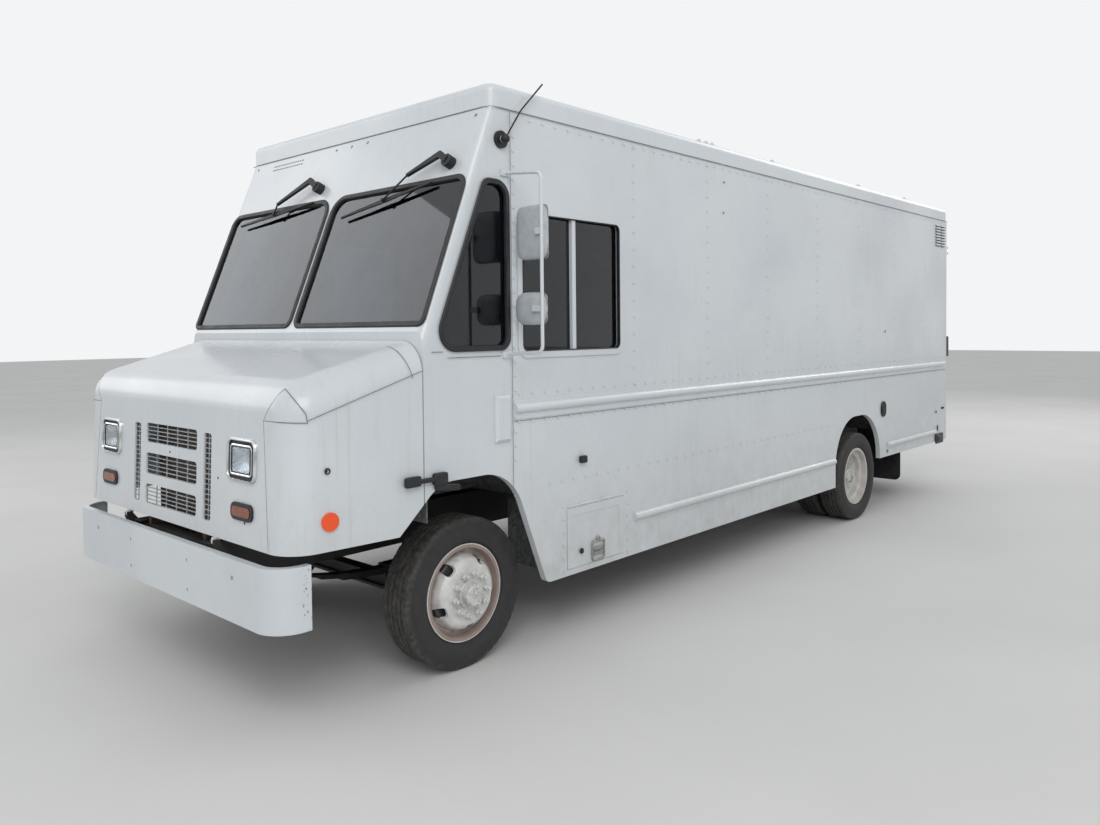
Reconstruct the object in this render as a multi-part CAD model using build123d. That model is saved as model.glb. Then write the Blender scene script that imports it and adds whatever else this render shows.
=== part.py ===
from build123d import *
import os
from math import acos, atan2, cos, degrees, sin, tan

# Walk-in step van on a truck chassis, in millimetres.
# +Z is up, -Y is the front, +X is the driver's side, and Z = 0 is the ground.
# X = 0 is the centre plane, and Y = 0 is halfway along the overall length.

# Driving dimensions of the vehicle
LENGTH = 8420.0
FRONT_OVERHANG = 1170.0
WHEELBASE = 4800.0
BODY_W = 2400.0
WALL = 40.0
EAVE_Z = 2965.0
ROOF_RISE = 127.0
ROOF_LIP = 8.0
SKIRT_Z = 377.0
REAR_SKIRT_Z = 520.0
REAR_POST = 50.0
FLOOR_Z = 890.0
FLOOR_T = 40.0
REAR_STOP_REACH = 100.0
PANEL_GAP = 6.0
SEAT_GAP = 0.3

HALF_W = BODY_W / 2
INNER_W = HALF_W - WALL
FRONT_Y = -LENGTH / 2
REAR_Y = LENGTH / 2
AXLE_F = FRONT_Y + FRONT_OVERHANG
AXLE_R = AXLE_F + WHEELBASE
BODY_END_Y = REAR_Y - REAR_STOP_REACH
REAR_SPAN = BODY_END_Y - AXLE_R
ROOF_Z = EAVE_Z + ROOF_RISE

# Wheels and tyres
TYRE_R = 403.0
TYRE_W = 222.0
RIM_FLANGE_R = 260.0
RIM_SEAT_R = 247.0
RIM_HALF_W = 89.0
RIM_T = 8.0
RIM_OUTSET = 122.0
DISC_T = 10.0
HAND_HOLES = 5
HAND_HOLE_R = 20.0
HAND_HOLE_PCR = 184.0
HAND_HOLE_TURN = 39.8
FRONT_TYRE_X = HALF_W - 243.0
DUAL_X = HALF_W - 260.0
HUB_R = 78.0
HUB_CAP_R = 60.0
SPINDLE_R = 30.0
DRUM_R = 195.0
DRUM_T = 14.0
RUN_GAP = 0.08
AXLE_Z = TYRE_R

# Chassis
RAIL_X = 430.0
RAIL_W = 75.0
RAIL_T = 8.0
RAIL_Z0 = 560.0
RAIL_Z1 = 780.0
CROSS_Z0 = 625.0
CROSS_Z1 = 760.0
CROSS_FLANGE = 50.0
RAIL_FRONT_Y = AXLE_F - 1105.0
RAIL_REAR_Y = BODY_END_Y - 70.0
KINGPIN_X = FRONT_TYRE_X - 127.0
KINGPIN_R = 15.0
TIE_ROD_R = 16.0
STEER_ARM = 170.0
TIE_ROD_Z = AXLE_Z - 85.0

# Engine, propeller shaft, rear axle and exhaust
RADIATOR_TOP_Z = 1370.0
ENGINE_TOP_Z = 1260.0
ENGINE_END_Y = AXLE_F + 60.0
GEARBOX_END_Y = AXLE_F + 640.0
GEARBOX_OUT_Z = 560.0
DIFF_X = 60.0
PINION_REACH = 290.0
EXHAUST_X = -250.0
EXHAUST_Z = 490.0
EXHAUST_R = 30.0

# Front bumper
BUMPER_HALF_W = HALF_W - 60.0
BUMPER_Z0 = 485.0
BUMPER_Z1 = 775.0
BUMPER_T = 8.0
BUMPER_FLANGE = 36.0
BUMPER_CORNER_R = 148.0
BUMPER_WRAP = 184.0
BUMPER_HOLE_X = 330.0
BUMPER_HOLE_Z = (547.0, 692.0)
BUMPER_HOLE_R = 9.0

# Tilting hood
HOOD_T = 8.0
HOOD_FACE_Y = AXLE_F - 1090.0
HOOD_FACE_RAKE = 0.04
HOOD_FACE_Z = 1200.0
HOOD_BOTTOM_Z = 820.0
HOOD_REAR_Z = 1750.0
HOOD_SLOPE = 0.285
HOOD_TAPER = 0.075
HOOD_EDGE_R = 158.0
HOOD_PIVOT_Y = AXLE_F - 1112.0
HOOD_PIVOT_Z = 800.0
HOOD_LUG_X = 500.0
HOOD_LUG_T = 12.0
HINGE_SIDE_GAP = 2.0
HINGE_EAR_T = 8.0
HINGE_PIN_R = 6.0

# Cab front
COWL_Y = AXLE_F - 390.0
COWL_Z = 1796.0
WS_TAN = 0.397
CAB_SEAM_BACK = 138.0
CAB_SEAM_Y = COWL_Y + WS_TAN * (EAVE_Z - COWL_Z) + CAB_SEAM_BACK
CAB_SILL_Z = 800.0
PILLAR_R = 45.0
HOOD_REAR_Y = COWL_Y - PANEL_GAP
TUNNEL_HALF = 370.0
TUNNEL_Z = 1310.0
TUNNEL_END_Y = AXLE_F + 700.0
HEADER_HOLE_Z = EAVE_Z - 40.0
HEADER_HOLES = (-1110.0, -162.0, 0.0, 162.0, 1110.0)
HEADER_HOLE_R = 11.0

# Windows
GASKET_W = 30.0
GASKET_PROUD = 10.0
GLASS_T = 6.0
WINDOW_Z0 = 1690.0
WINDOW_Z1 = EAVE_Z - 378.0
WS_LOW_Z = COWL_Z + 22.0
WS_HIGH_Z = EAVE_Z - 363.0
QUARTER_FOOT_Y = COWL_Y + 40.0
QUARTER_TAN = 0.4057

# Doors
DOOR_T = 35.0
SLIDE_Y0 = AXLE_F + 560.0
SLIDE_Y1 = SLIDE_Y0 + 760.0
SLIDE_Z1 = EAVE_Z - 325.0
STEP_Z = 470.0
STEP_IN_X = 780.0
SLIDE_LAP = 30.0
SLIDE_RUN_GAP = 10.0
TRACK_RISE = 12.0
SLIDE_WAY = 860.0
REAR_DOOR_HALF = HALF_W - 120.0
REAR_DOOR_Z0 = 905.0
REAR_DOOR_Z1 = EAVE_Z - 265.0
REAR_DOOR_T = 40.0
REAR_HINGE_X = REAR_DOOR_HALF + 18.0
REAR_HINGE_OUT = 14.0
REAR_HINGE_R = 9.0
REAR_WINDOW = (300.0, 800.0, 1800.0, 2300.0)
REAR_BEAM_Z0 = 440.0

# Seat and steering wheel
DRIVER_X = 650.0
SEAT_Y = AXLE_F + 700.0
SEAT_PAN_Z = 1210.0

WS_ANGLE = atan2(WS_TAN, 1.0)
SIDES = (1, -1)


def box(x0, x1, y0, y1, z0, z1):
    centre = Pos((x0 + x1) / 2, (y0 + y1) / 2, (z0 + z1) / 2)
    return centre * Box(abs(x1 - x0), abs(y1 - y0), abs(z1 - z0))


def outline(rows):
    """Closed face from rows of u, v and corner radius, straight runs joined by tangent arcs."""
    firsts, lasts, mids = [], [], []
    count = len(rows)
    for i, (u, v, r) in enumerate(rows):
        corner = Vector(u, v)
        before = (Vector(*rows[i - 1][:2]) - corner).normalized()
        after = (Vector(*rows[(i + 1) % count][:2]) - corner).normalized()
        if r == 0:
            firsts.append(corner)
            lasts.append(corner)
            mids.append(None)
            continue
        half = acos(before.dot(after)) / 2
        reach = r / tan(half)
        towards = (before + after).normalized()
        firsts.append(corner + before * reach)
        lasts.append(corner + after * reach)
        mids.append(corner + towards * (r / sin(half) - r))
    edges = []
    for i in range(count):
        if mids[i] is not None:
            edges.append(ThreePointArc(firsts[i], mids[i], lasts[i]))
        nxt = firsts[(i + 1) % count]
        if (nxt - lasts[i]).length > 0.001:
            edges.append(Line(lasts[i], nxt))
    return make_face(Wire(edges))


def across(rows, x0, x1):
    """Solid whose side outline is rows of y, z and radius, running from x0 to x1."""
    return extrude(Plane.YZ.offset(x0) * outline(rows), amount=x1 - x0)


def along(rows, y0, y1):
    """Solid whose front outline is rows of x, z and radius, running from y0 to y1."""
    plane = Plane(origin=(0, y0, 0), x_dir=(1, 0, 0), z_dir=(0, -1, 0))
    return extrude(plane * outline(rows), amount=y0 - y1)


def upward(rows, z0, z1):
    """Solid whose plan outline is rows of x, y and radius, running from z0 to z1."""
    return extrude(Plane.XY.offset(z0) * outline(rows), amount=z1 - z0)


def mirror_x(rows):
    return [(-u, v, r) for u, v, r in reversed(rows)]


def rounded_rect(u0, u1, v0, v1, r):
    return [(u0, v0, r), (u1, v0, r), (u1, v1, r), (u0, v1, r)]


def cyl_x(x0, x1, y, z, r):
    middle = Pos((x0 + x1) / 2, y, z)
    return middle * Rot(0, 90, 0) * Cylinder(r, abs(x1 - x0))


def cyl_y(x, y0, y1, z, r):
    middle = Pos(x, (y0 + y1) / 2, z)
    return middle * Rot(90, 0, 0) * Cylinder(r, abs(y1 - y0))


def cyl_z(x, y, z0, z1, r):
    return Pos(x, y, (z0 + z1) / 2) * Cylinder(r, abs(z1 - z0))


def spun(rows):
    """Ring about the X axis from rows of x, radius and corner radius."""
    face = Plane.XY * outline(rows)
    return revolve(face, axis=Axis.X)


def tube(points, radius, bend):
    """Round bar along straight runs joined by tangent arcs of one bend radius."""
    if len(points) > 2:
        path = FilletPolyline(*points, radius=bend)
    else:
        path = Line(*points)
    start = Plane(origin=path @ 0, z_dir=path % 0)
    return sweep(start * Circle(radius), path=path)


def save(name, shape):
    if isinstance(shape, (list, tuple)):
        shape = Compound(children=list(shape)) if len(shape) > 1 else shape[0]
    shape.label = name
    export_step(shape, "parts/" + name + ".step")


def slant_y(z, inset=0.0):
    """Y of the raked windshield plane at height z, moved inward square to itself."""
    return COWL_Y + WS_TAN * (z - COWL_Z) + inset / cos(WS_ANGLE)


def hood_face_y(z, inset=0.0):
    return HOOD_FACE_Y + HOOD_FACE_RAKE * (z - HOOD_FACE_Z) + inset


def hood_half_w(y, inset=0.0):
    return HALF_W - 2.0 - HOOD_TAPER * (HOOD_REAR_Y - y) - inset


def hood_top_z(y, inset=0.0):
    return HOOD_REAR_Z - HOOD_SLOPE * (HOOD_REAR_Y - y) - inset


# Front wheel arch in side view: y from the front axle, z and corner radius
ARCH_FRONT = [
    (-536.0, HOOD_BOTTOM_Z, 0),
    (-300.0, 1047.0, 230.0),
    (205.0, 1047.0, 300.0),
    (478.0, SKIRT_Z, 45.0),
]
REAR_ARCH_HALF = 505.0
REAR_ARCH_TOP = 975.0
REAR_ARCH_R = 430.0


def front_arch_rows():
    rows = [(AXLE_F + y, z, r) for y, z, r in ARCH_FRONT]
    return rows + [(AXLE_F + 700, SKIRT_Z, 0), (AXLE_F + 700, 0, 0), (AXLE_F - 536, 0, 0)]


def rear_arch_rows():
    y0 = AXLE_R - REAR_ARCH_HALF - 50
    y1 = AXLE_R + REAR_ARCH_HALF - 60
    return [(y0, 0, 0), (y1, 0, 0), (y1, REAR_ARCH_TOP, REAR_ARCH_R), (y0, REAR_ARCH_TOP, REAR_ARCH_R)]


# Wheel pieces, each about the X axis with +X outward
def rim_section():
    w = RIM_HALF_W
    s = RIM_SEAT_R
    well = s - 34
    outer = [(-w, RIM_FLANGE_R, 0), (-w + 6, RIM_FLANGE_R, 0), (-w + 7, s, 0), (-w + 45, s - 10, 0),
             (-w + 60, well, 0), (w - 60, well, 0), (w - 45, s - 10, 0), (w - 7, s, 0),
             (w - 6, RIM_FLANGE_R, 0), (w, RIM_FLANGE_R, 0)]
    inner = [(w, s - 9, 0), (w - 40, s - 10 - RIM_T, 0), (w - 56, well - RIM_T, 0),
             (-w + 56, well - RIM_T, 0), (-w + 40, s - 10 - RIM_T, 0), (-w, s - 9, 0)]
    return outer + inner


def rim():
    barrel = spun(rim_section())
    face = RIM_OUTSET
    join = RIM_SEAT_R - 34 - RIM_T / 2
    dish = spun([(12, join, 0), (30, join, 0), (face - 18, join - 22, 30), (face, 162, 25),
                 (face, HUB_R - 6, 0), (face - DISC_T, HUB_R - 6, 0), (face - DISC_T, 156, 18),
                 (face - 30, join - 34, 20), (12, join - 12, 0)])
    for i in range(HAND_HOLES):
        turn = HAND_HOLE_TURN + 360.0 / HAND_HOLES * i
        hole = SlotOverall(64, 2 * HAND_HOLE_R)
        cutter = Plane.YZ.offset(20) * Pos(0, HAND_HOLE_PCR) * hole
        dish -= Rot(turn, 0, 0) * extrude(cutter, amount=120)
    return barrel + dish


def tyre():
    h = TYRE_W / 2
    seat = RIM_SEAT_R + SEAT_GAP
    right = [(RIM_HALF_W - 7.5, seat, 0), (RIM_HALF_W - 7.5, RIM_FLANGE_R + 2, 0),
             (h - 14, RIM_FLANGE_R + 16, 12), (h, 326, 60), (h - 6, TYRE_R - 26, 16),
             (h - 22, TYRE_R, 14)]
    left = [(-x, r, c) for x, r, c in reversed(right)]
    ring = spun(right + left)
    return ring


def drum(x0, x1):
    """Brake drum open toward x0."""
    shell = spun([(x0, DRUM_R, 0), (x1, DRUM_R, 12), (x1, HUB_R - 10, 0), (x1 - DRUM_T, HUB_R - 10, 0),
                  (x1 - DRUM_T, DRUM_R - DRUM_T, 8), (x0, DRUM_R - DRUM_T, 0)])
    return shell


def front_wheel():
    """Rim, hub and drum turning together on the spindle."""
    hub = spun([(-46, SPINDLE_R + RUN_GAP, 0), (-46, 60, 0), (20, 60, 0), (40, HUB_R, 0),
                (RIM_OUTSET + 12, HUB_R, 6), (RIM_OUTSET + 14, HUB_CAP_R, 0),
                (RIM_OUTSET + 52, HUB_CAP_R, 12), (RIM_OUTSET + 52, 0, 0),
                (RIM_OUTSET - 16, 0, 0), (RIM_OUTSET - 16, SPINDLE_R + RUN_GAP, 0)])
    return rim() + hub + drum(-58, 66)


def rear_wheels():
    """Twin rims back to back, with the hub, axle flange and drum."""
    outer = Pos(-RIM_OUTSET, 0, 0) * rim()
    outer = Rot(0, 0, 180) * outer
    inner = Pos(-RIM_OUTSET, 0, 0) * rim()
    hub = spun([(-110, 46 + RUN_GAP, 0), (-110, 70, 0), (-20, 70, 0), (-18, HUB_R, 0),
                (110, HUB_R, 8), (112, 62, 0), (143, 62, 6), (143, 0, 0),
                (118, 0, 0), (118, 46 + RUN_GAP, 0)])
    return outer + inner + hub + drum(-142, -18)


def knuckle(side):
    x = KINGPIN_X
    z = AXLE_Z
    ear_r = 42.0
    upper = cyl_z(x, AXLE_F, z + 62, z + 100, ear_r)
    upper += box(x, x + 78, AXLE_F - 36, AXLE_F + 36, z + 62, z + 100)
    lower = cyl_z(x, AXLE_F, z - 100, z - 62, ear_r)
    lower += box(x, x + 78, AXLE_F - 36, AXLE_F + 36, z - 100, z - 62)
    block = box(x + 46, x + 78, AXLE_F - 40, AXLE_F + 40, z - 100, z + 100)
    pin = cyl_z(x, AXLE_F, z - 110, z + 110, KINGPIN_R)
    spindle = cyl_x(x + 60, FRONT_TYRE_X + RIM_OUTSET - 20, AXLE_F, z, SPINDLE_R)
    plate = cyl_x(x + 60, x + 66, AXLE_F, z, DRUM_R - 6)
    arm_y = AXLE_F + STEER_ARM
    arm = box(x - 14, x + 14, AXLE_F + 20, arm_y + 24, TIE_ROD_Z - 4, TIE_ROD_Z + 22)
    arm -= cyl_z(x, arm_y, TIE_ROD_Z - 40, TIE_ROD_Z + 60, 9 + RUN_GAP)
    shape = upper + lower + block + pin + spindle + plate + arm
    return shape if side > 0 else mirror(shape, about=Plane.YZ)


def tie_rod():
    y = AXLE_F + STEER_ARM
    z = TIE_ROD_Z - 26
    rod = cyl_x(-KINGPIN_X, KINGPIN_X, y, z, TIE_ROD_R)
    for side in SIDES:
        rod += cyl_z(side * KINGPIN_X, y, z - 20, z + 16, 24)
    rod += cyl_z(KINGPIN_X, y, z, TIE_ROD_Z + 24, 9)
    return rod


def front_axle():
    z = AXLE_Z
    web = box(-KINGPIN_X + 60, KINGPIN_X - 60, AXLE_F - 8, AXLE_F + 8, z - 100, z - 20)
    top = box(-KINGPIN_X + 60, KINGPIN_X - 60, AXLE_F - 40, AXLE_F + 40, z - 34, z - 18)
    low = box(-KINGPIN_X + 60, KINGPIN_X - 60, AXLE_F - 40, AXLE_F + 40, z - 104, z - 88)
    beam = web + top + low
    for side in SIDES:
        boss = cyl_z(side * KINGPIN_X, AXLE_F, z - 58, z + 58, 38)
        near = side * (KINGPIN_X - 75)
        neck = box(side * (KINGPIN_X - 20), near, AXLE_F - 30, AXLE_F + 30, z - 56, z + 20)
        bore = cyl_z(side * KINGPIN_X, AXLE_F, z - 70, z + 70, KINGPIN_R + RUN_GAP)
        pad = box(side * (RAIL_X - 75), side * (RAIL_X + 1), AXLE_F - 60, AXLE_F + 60, z - 20, z + 2)
        foot = box(near, side * (KINGPIN_X - 50), AXLE_F - 34, AXLE_F + 34, z - 104, z + 10)
        beam += boss + neck + pad + foot
        beam -= bore
    return beam


def rear_axle():
    z = AXLE_Z
    half = DUAL_X - 160
    shape = cyl_x(-half, half, AXLE_R, z, 62)
    shape += cyl_x(-DUAL_X - 108, DUAL_X + 108, AXLE_R, z, 46)
    bowl = Pos(DIFF_X, AXLE_R, z) * Sphere(185)
    shape += bowl & box(-90, 210, AXLE_R - 300, AXLE_R + 130, 0, 900)
    shape += cyl_y(DIFF_X, AXLE_R - PINION_REACH, AXLE_R, z + 20, 75)
    for side in SIDES:
        shape += cyl_x(side * (DUAL_X - 152), side * (DUAL_X - 146), AXLE_R, z, DRUM_R - 6)
        pad = box(side * (RAIL_X - 76), side * (RAIL_X + 2), AXLE_R - 70, AXLE_R + 70, z + 40, z + 68)
        shape += pad
    return shape


# Leaf springs: axle y, half length, height of the top leaf at its middle, leaves, rise at the ends
LEAF_SPRINGS = [
    (AXLE_F, 620.0, AXLE_Z + 38.0, 3, 75.0),
    (AXLE_R, 700.0, AXLE_Z + 116.0, 4, 6.0),
]
LEAF_T = 12.0
LEAF_W = 70.0
EYE_R = 24.0


def leaf_band(y, z, half, rise, x0, x1):
    """One curved leaf, its top at height z in the middle and z + rise at both ends."""
    drop = Vector(0, -LEAF_T)
    ends = [Vector(y - half, z + rise), Vector(y, z), Vector(y + half, z + rise)]
    upper = ThreePointArc(*ends)
    lower = ThreePointArc(*[p + drop for p in reversed(ends)])
    edges = [upper, Line(ends[2], ends[2] + drop), lower, Line(ends[0] + drop, ends[0])]
    return extrude(Plane.YZ.offset(x0) * make_face(Wire(edges)), amount=x1 - x0)


def leaf_spring(side, row):
    axle_y, half, top, count, rise = row
    x0 = RAIL_X - LEAF_W - 2
    x1 = RAIL_X - 2
    shape = None
    for i in range(count):
        part_half = half * (1 - 0.22 * i)
        part_rise = rise * (part_half / half) ** 2
        leaf = leaf_band(axle_y, top - LEAF_T * i, part_half, part_rise, x0, x1)
        shape = leaf if shape is None else shape + leaf
    for end in SIDES:
        y = axle_y + end * half
        z = top + rise - LEAF_T / 2
        shape += cyl_x(x0, x1, y, z, EYE_R)
        shape += box(x0 + 12, x1 - 12, y - 22, y + 22, z, RAIL_Z0)
    shape += box(x0 - 2, x1 + 2, axle_y - 55, axle_y + 55, top - 2, top + 14)
    return shape if side > 0 else mirror(shape, about=Plane.YZ)


# Front faces of the crossmembers
CROSSMEMBERS = [
    AXLE_F - 1070.0,
    AXLE_F + 700.0,
    AXLE_F + 1700.0,
    AXLE_F + 2700.0,
    AXLE_F + 3900.0,
    AXLE_R + 0.3234 * REAR_SPAN,
    AXLE_R + 0.8936 * REAR_SPAN,
]


def frame_rail(side):
    """Channel rail, open toward the middle."""
    outer = side * RAIL_X
    inner = side * (RAIL_X - RAIL_W)
    web = box(outer, side * (RAIL_X - RAIL_T), RAIL_FRONT_Y, RAIL_REAR_Y, RAIL_Z0, RAIL_Z1)
    low = box(outer, inner, RAIL_FRONT_Y, RAIL_REAR_Y, RAIL_Z0, RAIL_Z0 + RAIL_T)
    top = box(outer, inner, RAIL_FRONT_Y, RAIL_REAR_Y, RAIL_Z1 - RAIL_T, RAIL_Z1)
    return web + low + top


def crossmember(y):
    """Channel between the rails, open toward the rear."""
    half = RAIL_X - RAIL_T - SEAT_GAP
    web = box(-half, half, y, y + RAIL_T, CROSS_Z0, CROSS_Z1)
    top = box(-half, half, y, y + CROSS_FLANGE, CROSS_Z1 - RAIL_T, CROSS_Z1)
    low = box(-half, half, y, y + CROSS_FLANGE, CROSS_Z0, CROSS_Z0 + RAIL_T)
    return web + top + low


def bumper_horn(side):
    """Block that carries the bumper on the front end of a rail."""
    return box(side * (RAIL_X - 80), side * RAIL_X, FRONT_Y + BUMPER_T + SEAT_GAP, RAIL_FRONT_Y - SEAT_GAP,
               RAIL_Z0 - 20, RAIL_Z1 - 60)


def hood_hinge(side):
    """Two ears on a shelf beside the rail, with the pin the hood turns on."""
    front = RAIL_FRONT_Y
    back = front + 70
    shelf_z = 632.0
    near = HOOD_LUG_X - HOOD_LUG_T / 2 - HINGE_SIDE_GAP
    far = HOOD_LUG_X + HOOD_LUG_T / 2 + HINGE_SIDE_GAP
    ear_rows = [
        (front, shelf_z + 8, 0),
        (back, shelf_z + 8, 0),
        (back, 730, 0),
        (HOOD_PIVOT_Y + 14, HOOD_PIVOT_Z + 10, 6),
        (HOOD_PIVOT_Y - 13, HOOD_PIVOT_Z + 10, 6),
        (HOOD_PIVOT_Y - 13, HOOD_PIVOT_Z - 18, 0),
        (front, HOOD_PIVOT_Z - 60, 0),
    ]
    hinge = box(side * (RAIL_X + SEAT_GAP), side * (far + HINGE_EAR_T), front, back, shelf_z, shelf_z + 10)
    for x0, x1 in ((near - HINGE_EAR_T, near), (far, far + HINGE_EAR_T)):
        hinge += across(ear_rows, side * x0, side * x1)
    return hinge + cyl_x(side * (near - 1), side * (far + 1), HOOD_PIVOT_Y, HOOD_PIVOT_Z, HINGE_PIN_R)


def chassis_frame():
    pieces = [crossmember(y) for y in CROSSMEMBERS]
    for side in SIDES:
        pieces += [frame_rail(side), bumper_horn(side), hood_hinge(side)]
    return pieces


def front_bumper():
    w = BUMPER_HALF_W
    y = FRONT_Y
    r = BUMPER_CORNER_R

    def band(inset, tail):
        return [(-w + inset, y + BUMPER_WRAP + tail, 0), (-w + inset, y + inset, max(r - inset, 1)),
                (w - inset, y + inset, max(r - inset, 1)), (w - inset, y + BUMPER_WRAP + tail, 0)]
    wall = upward(band(0, 0), BUMPER_Z0, BUMPER_Z1) - upward(band(BUMPER_T, 1), BUMPER_Z0 - 1, BUMPER_Z1 + 1)
    lip = upward(band(0, 0), BUMPER_Z1 - BUMPER_T, BUMPER_Z1)
    lip += upward(band(0, 0), BUMPER_Z0, BUMPER_Z0 + BUMPER_T)
    lip -= upward(band(BUMPER_FLANGE, 1), BUMPER_Z0 - 1, BUMPER_Z1 + 1)
    shape = wall + lip
    for side in SIDES:
        for z in BUMPER_HOLE_Z:
            shape -= cyl_y(side * BUMPER_HOLE_X, y - 5, y + BUMPER_T + 5, z, BUMPER_HOLE_R)
    return shape


def radiator():
    shape = box(-350, 350, HOOD_FACE_Y + 95, HOOD_FACE_Y + 155, 800, RADIATOR_TOP_Z)
    for side in SIDES:
        shape += box(side * 300, side * 330, CROSSMEMBERS[0], HOOD_FACE_Y + 120, CROSS_Z1 + SEAT_GAP, 801)
    return shape


def engine():
    """Block, wider head, fan disc and a mount out to each rail."""
    shape = box(-270, 270, AXLE_F - 880, ENGINE_END_Y, 560, ENGINE_TOP_Z - 80)
    shape += box(-300, 300, AXLE_F - 760, AXLE_F - 60, ENGINE_TOP_Z - 260, ENGINE_TOP_Z)
    shape += cyl_y(0, AXLE_F - 905, AXLE_F - 880, 930, 230)
    for side in SIDES:
        shape += box(side * 265, side * (RAIL_X - RAIL_T - SEAT_GAP), AXLE_F - 330, AXLE_F - 250, 600, 680)
    return shape


def gearbox():
    rows = [(-170, 470, 60), (170, 470, 60), (130, 770, 60), (-130, 770, 60)]
    return along(rows, ENGINE_END_Y + SEAT_GAP, GEARBOX_END_Y)


def propeller_shaft():
    """Tube between the flange behind the gearbox and the one at the axle's pinion."""
    start = Vector(0, GEARBOX_END_Y + 15, GEARBOX_OUT_Z)
    end = Vector(DIFF_X, AXLE_R - 300, AXLE_Z + 20)
    shape = tube([start, end], 45, 0)
    shape += cyl_y(0, GEARBOX_END_Y + SEAT_GAP, GEARBOX_END_Y + 20, GEARBOX_OUT_Z, 60)
    shape += cyl_y(DIFF_X, AXLE_R - 335, AXLE_R - PINION_REACH - SEAT_GAP, AXLE_Z + 20, 58)
    return shape


def exhaust():
    """Front pipe with its silencer and hangers, and the tail pipe out to the curb side."""
    x = EXHAUST_X
    z = EXHAUST_Z
    join = AXLE_F + 2990.0
    outlet = AXLE_F + 3540.0
    front = tube([(x, AXLE_F - 200, z), (x, join, z)], EXHAUST_R, 0)
    front += cyl_y(x, AXLE_F + 1800, AXLE_F + 2600, z, 90)
    for y in CROSSMEMBERS[1:4]:
        front += box(x - 12, x + 12, y + 10, y + 34, z, CROSS_Z0 - SEAT_GAP)
    front += box(x - 60, x + 40, AXLE_F - 230, AXLE_F - 160, z - 20, 560 - SEAT_GAP)
    tail = tube([(x, join + SEAT_GAP, z), (x, join + 310, z), (-560, outlet - 40, z - 50),
                 (-1000, outlet, z - 155), (-HALF_W - 15, outlet, z - 160)], EXHAUST_R, 90)
    return [front, tail]


def powertrain():
    return [radiator(), engine(), gearbox(), propeller_shaft()] + exhaust()


def fuel_tank():
    y0 = AXLE_R + 0.366 * REAR_SPAN
    y1 = AXLE_R + 0.8085 * REAR_SPAN
    half = RAIL_X - RAIL_W - 10
    shape = along(rounded_rect(-half, half, 400, 700, 60), y0, y1)
    for y in (y0 + 180, y1 - 180):
        strap = along(rounded_rect(-half - 4, half + 4, 396, 704, 62), y - 25, y + 25)
        shape += strap
        for side in SIDES:
            shape += box(side * (half - 30), side * (RAIL_X - RAIL_T), y - 25, y + 25, 690, 704)
    return shape


# Hood and grille
SLOTS = [
    # x0, x1, z0, z1, corner radius, cells across, cells up
    (-294.0, 294.0, 1214.0, 1318.0, 22.0, 5, 5),
    (-294.0, 294.0, 1045.0, 1158.0, 22.0, 5, 5),
    (-294.0, 294.0, 886.0, 990.0, 22.0, 5, 5),
    (-444.0, -365.0, 886.0, 1311.0, 18.0, 2, 17),
    (365.0, 444.0, 886.0, 1311.0, 18.0, 2, 17),
]
HEADLAMP_X = 748.0
HEADLAMP_Z = 1212.0
HEADLAMP_W = 188.0
HEADLAMP_H = 132.0
BEZEL_W = 262.0
BEZEL_H = 200.0
AMBER_X = 758.0
AMBER_Z = 976.0
AMBER_W = 160.0
AMBER_H = 46.0
AMBER_R = 20.0
GROMMET_EDGE = 17.0
REFLECTOR_Y = AXLE_F - 902.0
REFLECTOR_Z = 953.0
REFLECTOR_R = 42.0
SIDE_HOLE_Y = AXLE_F - 913.0
SIDE_HOLE_Z = 1181.0
SIDE_HOLE_R = 9.0


def on_face(rows, depth0, depth1):
    """Outline of x and z laid on the raked hood face, from depth0 to depth1 outward."""
    lean = atan2(HOOD_FACE_RAKE, 1.0)
    normal = Vector(0, -cos(lean), sin(lean))
    plane = Plane(origin=(0, hood_face_y(0), 0), x_dir=(1, 0, 0), z_dir=normal)
    stretched = [(x, z / cos(lean), r) for x, z, r in rows]
    return extrude(plane.offset(depth0) * outline(stretched), amount=depth1 - depth0)


def hood_form(inset):
    """Tapered box with one radius on its top and front edges."""
    y0 = AXLE_F - 1250.0
    y1 = HOOD_REAR_Y
    sections = []
    for y in (y0, y1):
        half = hood_half_w(y, inset)
        corners = [(-half, 600), (half, 600), (half, hood_top_z(y, inset)), (-half, hood_top_z(y, inset))]
        sections.append(Face(Wire.make_polygon([Vector(x, y, z) for x, z in corners], close=True)))
    body = Solid.make_loft([s.outer_wire() for s in sections], ruled=True)
    cut_face = across([(y0 - 50, 500, 0), (hood_face_y(500, inset), 500, 0),
                       (hood_face_y(2000, inset), 2000, 0), (y0 - 50, 2000, 0)], -1400, 1400)
    body = Part(body.wrapped) - cut_face
    front_y = HOOD_FACE_Y
    chosen = []
    for edge in body.edges():
        c = edge.center()
        long_edge = edge.length > 500
        at_corner = abs(abs(c.X) - hood_half_w(front_y, inset)) < 30 and abs(c.Y - front_y) < 60
        upright = at_corner and long_edge and abs(c.Z - 1100) < 400
        nose = abs(c.X) < 5 and abs(c.Y - front_y) < 80 and c.Z > 1300
        shoulder = abs(c.X) > 1000 and c.Z > 1500 and long_edge
        if upright or nose or shoulder:
            chosen.append(edge)
    return fillet(chosen, HOOD_EDGE_R - inset)


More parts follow.
